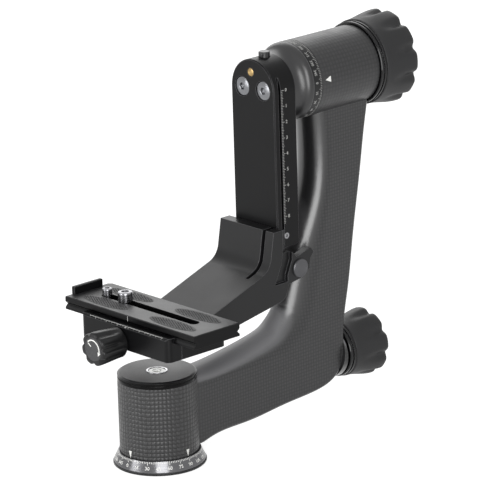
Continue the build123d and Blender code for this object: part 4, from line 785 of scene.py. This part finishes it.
def arm_pointers():
    """Two pointers over the pan dial and one beside the tilt dial."""
    pan_pointer_z = 12.9
    tilt_pointer_x = 128.8
    marks = []
    for heading in (pan_zero, -86.5):
        turn = radians(heading)

        def on_barrel(x, y, z, turn=turn):
            return *polar(barrel_radius + z, turn + x / barrel_radius), pan_pointer_z + y

        marks.append(moulded(pointer(2.5, 4.5), on_barrel))
    lift = 6.2  # degrees above -Y

    def beside_ring(x, y, z):
        out, up = polar(barrel_radius + z, radians(lift) + x / barrel_radius)
        return tilt_pointer_x + y, -out, tilt_z + up

    marks.append(moulded(pointer(3.9, 4.6), beside_ring))
    return marks


put("pan_dial", "pan_base", pan_dial(), ink)
put("tilt_dial", "swing", tilt_dial(), engraving)
put("arm_pointers", "arm", arm_pointers(), ink)


# ======== The rail's height scale ========
rail_side_y = -19.2
groove_edge_x = 91.25
scale_top_z = 219.0
scale_digits_x = 4.1  # from the groove's edge to the digits' middle


def on_rail_side(x, y, z):
    """x along +X from the groove's edge, y up from the scale's zero, z out of the near side."""
    return groove_edge_x + x, rail_side_y - z, scale_top_z + y


def rail_scale():
    """Millimetres down the rail's near edge, with the centimetres numbered."""
    plain = {"Ticks": 85, "Middle Every": 5, "Long Every": 10}
    lengths = {"Short Tick": 1.3, "Middle Tick": 1.8, "Long Tick": 2.5, "Tick Width": 0.3, "Spacing": 1.0}
    ticks = grown(rule_ticks, engraving, plain, lengths)
    marks = [moulded(ticks, on_rail_side)]
    for number in range(9):
        down = 10.0 * number  # a number each centimetre
        place = lambda x, y, z, down=down: on_rail_side(scale_digits_x + x, y - down, z)
        marks.append(moulded(figure(str(number), 2.1), place))
    return marks


put("rail_scale", "swing", rail_scale(), engraving)


# ======== The clamp's marks ========
jaw_top = (-22.2, 92.0)  # x and z of the top edge of the jaw's bevel
bevel_fall = 0.7071
clamp_zero_y = 0.9


def on_jaw_bevel(x, y, z):
    """x runs towards -Y from the clamp's centre mark, y up the bevel, z out of it."""
    return (jaw_top[0] + bevel_fall * (y - z), clamp_zero_y - x, jaw_top[1] + bevel_fall * (y + z))


def clamp_scale():
    """A long line on the jaw's bevel, a tick each 5 mm and a centre triangle."""
    half = 33.5
    line = slab([[(-half, -0.25), (half, -0.25), (half, -0.55), (-half, -0.55)]])
    plain = {"Ticks": 27, "Middle Every": 2, "Long Every": 4}
    lengths = {"Short Tick": 0.35, "Middle Tick": 0.6, "Long Tick": 1.0, "Tick Width": 0.34, "Spacing": 2.5}
    ticks = grown(rule_ticks, engraving, plain, lengths)
    ticks = moulded(ticks, lambda x, y, z: (y + 32.5, -0.5 - x, z))
    centre = slab([[(0, -0.5), (-0.9, -1.6), (0.9, -1.6)]])
    return [moulded(mark, on_jaw_bevel) for mark in (line, ticks, centre)]


def plate_index_line():
    """The line on the lens plate that is set against the clamp's scale."""
    line = slab([[(-0.22, 0), (0.22, 0), (0.22, 3.3), (-0.22, 3.3)]])
    return [moulded(line, lambda x, y, z: (-18.3 - z, 4.16 - x, 93.2 + y))]


put("clamp_scale", "jaw", clamp_scale(), engraving)
put("plate_index_line", "plate", plate_index_line(), engraving)

knob_face_x = -43.95


def on_knob_face(x, y, z):
    """x to the right and y up, seen by who faces the clamp knob, z out of it."""
    return knob_face_x - z, clamp_knob_axis[0] - x, clamp_knob_axis[1] + y


def clamp_knob_marks():
    """A plain curved arrow that shows which way the knob tightens."""
    middle, half, head = 5.9, 0.42, 1.25  # the arc's radius, half its line, half the arrow's head
    steps = 16
    angles = [radians(135 - 145 * at / steps) for at in range(steps + 1)]
    faces = []
    for one, two in zip(angles, angles[1:]):
        outer = [polar(middle + half, one), polar(middle + half, two)]
        faces.append([*outer, polar(middle - half, two), polar(middle - half, one)])
    last = angles[-1]
    tip = [polar(middle + head, last), polar(middle, last - 0.42), polar(middle - head, last)]
    bar = [(-4.3, 3.3), (-3.8, 3.8), (-1.2, 1.9), (-1.7, 1.4)]
    return [moulded(slab(group), on_knob_face) for group in (faces, [tip], [bar])]


put("clamp_knob_marks", "clamp_knob", clamp_knob_marks(), ink)


# ======== The bullseye level ========
vial_top = 58.3


def level_circle():
    """The black circle that the bubble is brought into."""
    inner, outer = 2.3, 2.75
    points = [(0, inner, 0), (0, outer, 0), (0.07, outer, 0), (0.07, inner, 0), (0, inner, 0)]
    return [turning(points, dark_ink, about(0, 0, vial_top, "Z"), steps=48)]


def level_bubble():
    """The bubble, just off the middle."""
    radius, rise = 1.75, 0.14
    points = [(0, 0, 0)]
    points += [(rise * sin(radians(a)), radius * cos(radians(a)), 0) for a in range(0, 91, 15)]
    return [turning(points, bubble, about(-1.1, 0.6, vial_top, "Z"), steps=32)]


put("level_circle", "arm", level_circle(), dark_ink)
put("level_bubble", "arm", level_bubble(), bubble)


# ======== Lobed grips ========
def lobed_profile(start, end, foot, crest, flute, bore, cap_bore, cap_depth):
    """Points down a grip: out of its bore, up a flaring side, over a soft rim and into the cap's seat."""
    length = end - start
    points = [(start, bore, 0), (start, foot - 0.5, 0), (start + 0.12, foot - 0.15, 0.02)]
    stations = 22
    for at in range(stations + 1):
        share = at / stations
        place = start + 0.4 + share * (length - 2.4)
        fade = eased(min(1.0, max(0.0, (share - 0.2) / 0.75)))
        points.append((place, foot + (crest - foot) * eased(share), flute * fade))
    rim = 2.0
    for degree in (25, 50, 75, 90):
        turn = radians(degree)
        points.append((end - rim + rim * sin(turn), crest - rim * 0.8 * (1 - cos(turn)), flute))
    points += [
        (end, (crest + cap_bore) / 2 - 0.4, flute * 0.45),
        (end, cap_bore + 0.05, 0),
        (end - cap_depth, cap_bore + 0.05, 0),
        (end - cap_depth, bore, 0),
        (start, bore, 0),
    ]
    return points


def tilt_grip():
    """Ten lobes, for the tilt lock."""
    points = lobed_profile(175.3, 199.7, 27.0, 29.6, 2.9, 12.2, 17.0, 1.55)
    place = about(0, 0, tilt_z)
    return [turning(points, rubber, place, flutes=10, phase=88.5, sharpness=4.0, steps=300)]


def pan_grip():
    """Eight lobes, for the pan lock."""
    points = lobed_profile(152.2, 177.2, 17.9, 21.4, 2.5, 4.2, 11.5, 1.55)
    return [turning(points, rubber, about(0, 0, lock_z), flutes=8, phase=103, sharpness=3.5, steps=240)]


def clamp_grip():
    """Seven lobes, for the clamp's screw."""
    start, end, foot, crest, flute = 0.0, 20.2, 9.6, 10.6, 1.6
    points = [(start, 0, 0), (start, foot - 0.9, 0), (start + 0.3, foot - 0.5, 0)]
    stations = 14
    for at in range(stations + 1):
        share = at / stations
        place = start + 0.6 + share * (end - 2.2)
        points.append((place, foot + (crest - foot) * eased(share), flute * eased(min(1.0, share / 0.45))))
    for degree in (30, 60, 90):
        turn = radians(degree)
        points.append((end - 1.6 + 1.6 * sin(turn), crest - 1.2 * (1 - cos(turn)), flute))
    points += [(end, crest - 2.2, flute * 0.3), (end, 7.5, 0), (end - 0.5, 7.5, 0), (end - 0.5, 0, 0)]
    place = about(-23.8, *clamp_knob_axis, "-X")
    return [turning(points, hard_nylon, place, flutes=7, phase=12, sharpness=2.6, steps=196)]


def clamp_knob_disc():
    """The grained disc let into the knob's face."""
    points = [(0, 0, 0), (0, 7.4, 0), (0.35, 7.4, 0), (0.45, 7.2, 0), (0.45, 0, 0)]
    return [turning(points, nylon, about(-43.5, *clamp_knob_axis, "-X"), steps=64)]


put("tilt_knob_lobes", "tilt_knob", tilt_grip(), rubber, ["tilt_knob_grip"], 50)
put("pan_knob_lobes", "pan_knob", pan_grip(), rubber, ["pan_knob_grip"], 50)
put("clamp_knob_lobes", "clamp_knob", clamp_grip(), hard_nylon, ["clamp_knob_grip"], 50)
put("clamp_knob_disc", "clamp_knob", clamp_knob_disc(), nylon)


# ======== Threaded and turned screws ========
plate_top = 96.8
screw_head_top = 91.8


def camera_stud(y, radius, height, pitch):
    """A captive camera screw: a rolled thread above the plate, a plain round head below."""
    depth = 0.012 * pitch
    foot, tip = plate_top + 0.3, plate_top + height
    points = [(screw_head_top - 2.4, 0, 0), (screw_head_top - 2.4, 5.0, 0), (screw_head_top - 2.1, 5.3, 0)]
    points += [(screw_head_top - 0.3, 5.3, 0), (screw_head_top, 5.0, 0), (screw_head_top, 2.5, 0)]
    points += [(foot, 2.5, 0), (foot, radius - depth, 0), (foot + 0.2, radius - depth * 0.4, 0)]
    run = foot + 0.3
    while run < tip - 0.7:
        points.append((run, radius, depth))
        run += pitch / 8
    points += [(tip - 0.45, radius - 0.05, depth * 0.7), (tip - 0.12, radius - 0.3, 0)]
    points += [(tip, radius - 0.7, 0), (tip, radius * 0.52, 0), (tip - 1.1, radius * 0.5, 0)]
    points.append((tip - 1.1, 0, 0))
    return [turning(points, stud_steel, about(0, y, 0, "Z"), pitch=pitch, sharpness=0.8, steps=40)]


large = camera_stud(large_stud_y, 4.6, 6.2, 1.5875)
small = camera_stud(small_stud_y, 3.1, 4.8, 1.27)
put("large_stud", "large_screw", large, stud_steel, ["large_camera_screw"], 60)
put("small_stud", "small_screw", small, stud_steel, ["small_camera_screw"], 60)


def rail_screw_pair():
    """Two big socket screws with domed heads and a six-sided socket."""
    screws = []
    for side in (-1, 1):
        points = [(27.3, 0, 0), (27.3, 2.6, 0), (26.9, 3.0, 0), (5.2, 3.0, 0), (5.2, 6.0, 0), (5.0, 6.2, 0)]
        points += [(0.9, 6.2, 0), (0.6, 5.95, 0), (0.5, 5.6, 0), (0.36, 4.8, 0), (0.17, 3.6, 0)]
        points += [(0.02, 2.7, 0), (0.2, 2.3, 0.2), (1.4, 2.1, 0.28), (1.7, 0, 0)]
        place = about(rail_face_x, side * rail_screw_y, rail_screw_z)
        screws.append(turning(points, screw_steel, place, flutes=6, phase=30, sharpness=0.6, steps=72))
    return screws


put("rail_screw_heads", "swing", rail_screw_pair(), screw_steel, ["rail_screws"], 40)


def pin_head():
    """The brass pin above the screws, its end faintly domed with a centre mark."""
    points = [(0.12, 0, 0), (0.04, 0.5, 0), (0.03, 0.8, 0), (0.06, 1.8, 0), (0.2, 2.5, 0), (0.5, 2.8, 0)]
    points += [(5.2, 2.8, 0), (5.2, 0, 0)]
    return [turning(points, pin_brass, about(*pin_end), steps=48)]


put("brass_pin_head", "swing", pin_head(), pin_brass, ["brass_pin"], 40)


def plug_rim():
    """The bright turned edge of the plug in the lug's side."""
    points = [(0, 4.6, 0), (0.1, 4.9, 0), (0.1, 5.5, 0), (-0.1, 5.75, 0), (-0.2, 5.75, 0)]
    points += [(-0.2, 4.6, 0), (0, 4.6, 0)]
    place = about(plug_end[0], plug_end[1] - 0.3, plug_end[2], "-Y")
    return [turning(points, plug_steel, place, steps=48)]


put("plug_rim", "carriage", plug_rim(), plug_steel)


def grip_dots():
    """Fine dots on the four oval pads."""
    ovals = []
    for low, high in ((-47.7, -8.0), (13.6, 52.6)):
        for side in (-1, 1):
            lengths = {"Half Width": 5.1, "Half Length": (high - low) / 2 - 0.3, "Pitch": 1.6}
            dots = grown(pad_dots, neoprene, {}, {**lengths, "Dot Radius": 0.5, "Dot Height": 0.3})
            place = (side * 10.2 * MM, (low + high) / 2 * MM, (plate_top + 0.15) * MM)
            dots.transform(Matrix.Translation(place))
            ovals.append(dots)
    return ovals


put("plate_pad_dots", "plate", grip_dots(), neoprene, crease=80)


# ======== Floor, light and camera ========
def white_to_eye(tree):
    """1 for the rays that see plain white, from the camera, mirrors or glass, and 0 for the rest."""
    path = add(tree, "ShaderNodeLightPath").node.outputs
    eye, mirror, glass = (path[f"Is {kind} Ray"] for kind in ("Camera", "Glossy", "Transmission"))
    seen = add(tree, "ShaderNodeMath", [eye, mirror], operation="ADD")
    return add(tree, "ShaderNodeMath", [seen, glass], operation="ADD", use_clamp=True)


view_heading = radians(42.14)  # of the view, from +Y towards +X
view_right = Vector((cos(view_heading), -sin(view_heading), 0))
view_away = Vector((sin(view_heading), cos(view_heading), 0))


def lay_floor():
    """A broad pale table that keeps a soft shadow.

    Its near edge stops short, so that light comes from below it.
    """
    mesh = bpy.data.meshes.new("floor")
    near, reach = -0.4, 30.0
    spots = ((-reach, near), (reach, near), (reach, reach), (-reach, reach))
    corners = [view_right * u + view_away * v for u, v in spots]
    mesh.from_pydata(corners, [], [(0, 1, 2, 3)])
    floor = bpy.data.objects.new("floor", mesh)
    bpy.context.collection.objects.link(floor)
    material = bpy.data.materials.new("pale_floor")
    material.use_nodes = True
    tree = material.node_tree
    tree.nodes.clear()
    matt = add(tree, "ShaderNodeBsdfDiffuse", {"Color": linear("#c9c9c9")})
    glow = add(tree, "ShaderNodeEmission", {"Color": (1, 1, 1, 1), "Strength": 0.8})
    lit = add(tree, "ShaderNodeAddShader", [matt, glow])
    seen = white_to_eye(tree)
    mixed = add(tree, "ShaderNodeMixShader", [seen, matt, lit])
    add(tree, "ShaderNodeOutputMaterial", {"Surface": mixed})
    mesh.materials.append(material)


def hang_sky():
    """White to the eye and in reflections, a gentle fill for everything else."""
    world = bpy.data.worlds.new("sky")
    bpy.context.scene.world = world
    world.use_nodes = True
    tree = world.node_tree
    tree.nodes.clear()
    seen = white_to_eye(tree)
    strength = add(tree, "ShaderNodeMix", {"Factor": seen, "A": 0.32, "B": 1.0})
    sky = add(tree, "ShaderNodeBackground", {"Color": (1, 1, 1, 1), "Strength": strength})
    add(tree, "ShaderNodeOutputWorld", {"Surface": sky})


def hang_lamp(name, place, aim, size, power):
    """A soft rectangular lamp in metres and watts."""
    data = bpy.data.lights.new(name, "AREA")
    data.shape = "RECTANGLE"
    data.size, data.size_y = size
    data.energy = power
    lamp = bpy.data.objects.new(name, data)
    bpy.context.collection.objects.link(lamp)
    lamp.location = place
    lamp.rotation_euler = (Vector(aim) - Vector(place)).to_track_quat("-Z", "Y").to_euler()
    lamp.visible_camera = False


def stand_camera():
    """A long lens that looks down at the near corner of the head."""
    drop, roll = radians(17.10), radians(-1.76)
    up = Vector((0, 0, 1))
    ahead = view_away * cos(drop) - up * sin(drop)
    above = view_away * sin(drop) + up * cos(drop)
    x_axis = view_right * cos(roll) + above * sin(roll)
    y_axis = above * cos(roll) - view_right * sin(roll)
    data = bpy.data.cameras.new("camera")
    data.sensor_width = 36
    data.lens = 312.62
    data.clip_end = 100
    camera = bpy.data.objects.new("camera", data)
    bpy.context.collection.objects.link(camera)
    frame_of_view = Matrix((x_axis, y_axis, -ahead)).transposed().to_4x4()
    camera.matrix_world = Matrix.Translation((-1.5720953, -1.8164329, 0.8784387)) @ frame_of_view
    bpy.context.scene.camera = camera


lay_floor()
hang_sky()
middle = Vector((0.06, 0, 0.15))
hang_lamp("back_softbox", middle + 3 * Vector((0.50, 0.72, 0.48)), middle, (3.4, 2.2), 34)
hang_lamp("front_softbox", middle + 3 * Vector((-0.60, -0.79, 0.18)), middle, (1.5, 2.8), 84)
hang_lamp("left_softbox", middle + 3 * Vector((-0.96, 0.26, 0.0)), middle, (1.4, 2.0), 60)
stand_camera()
bpy.context.scene.view_settings.view_transform = "Standard"
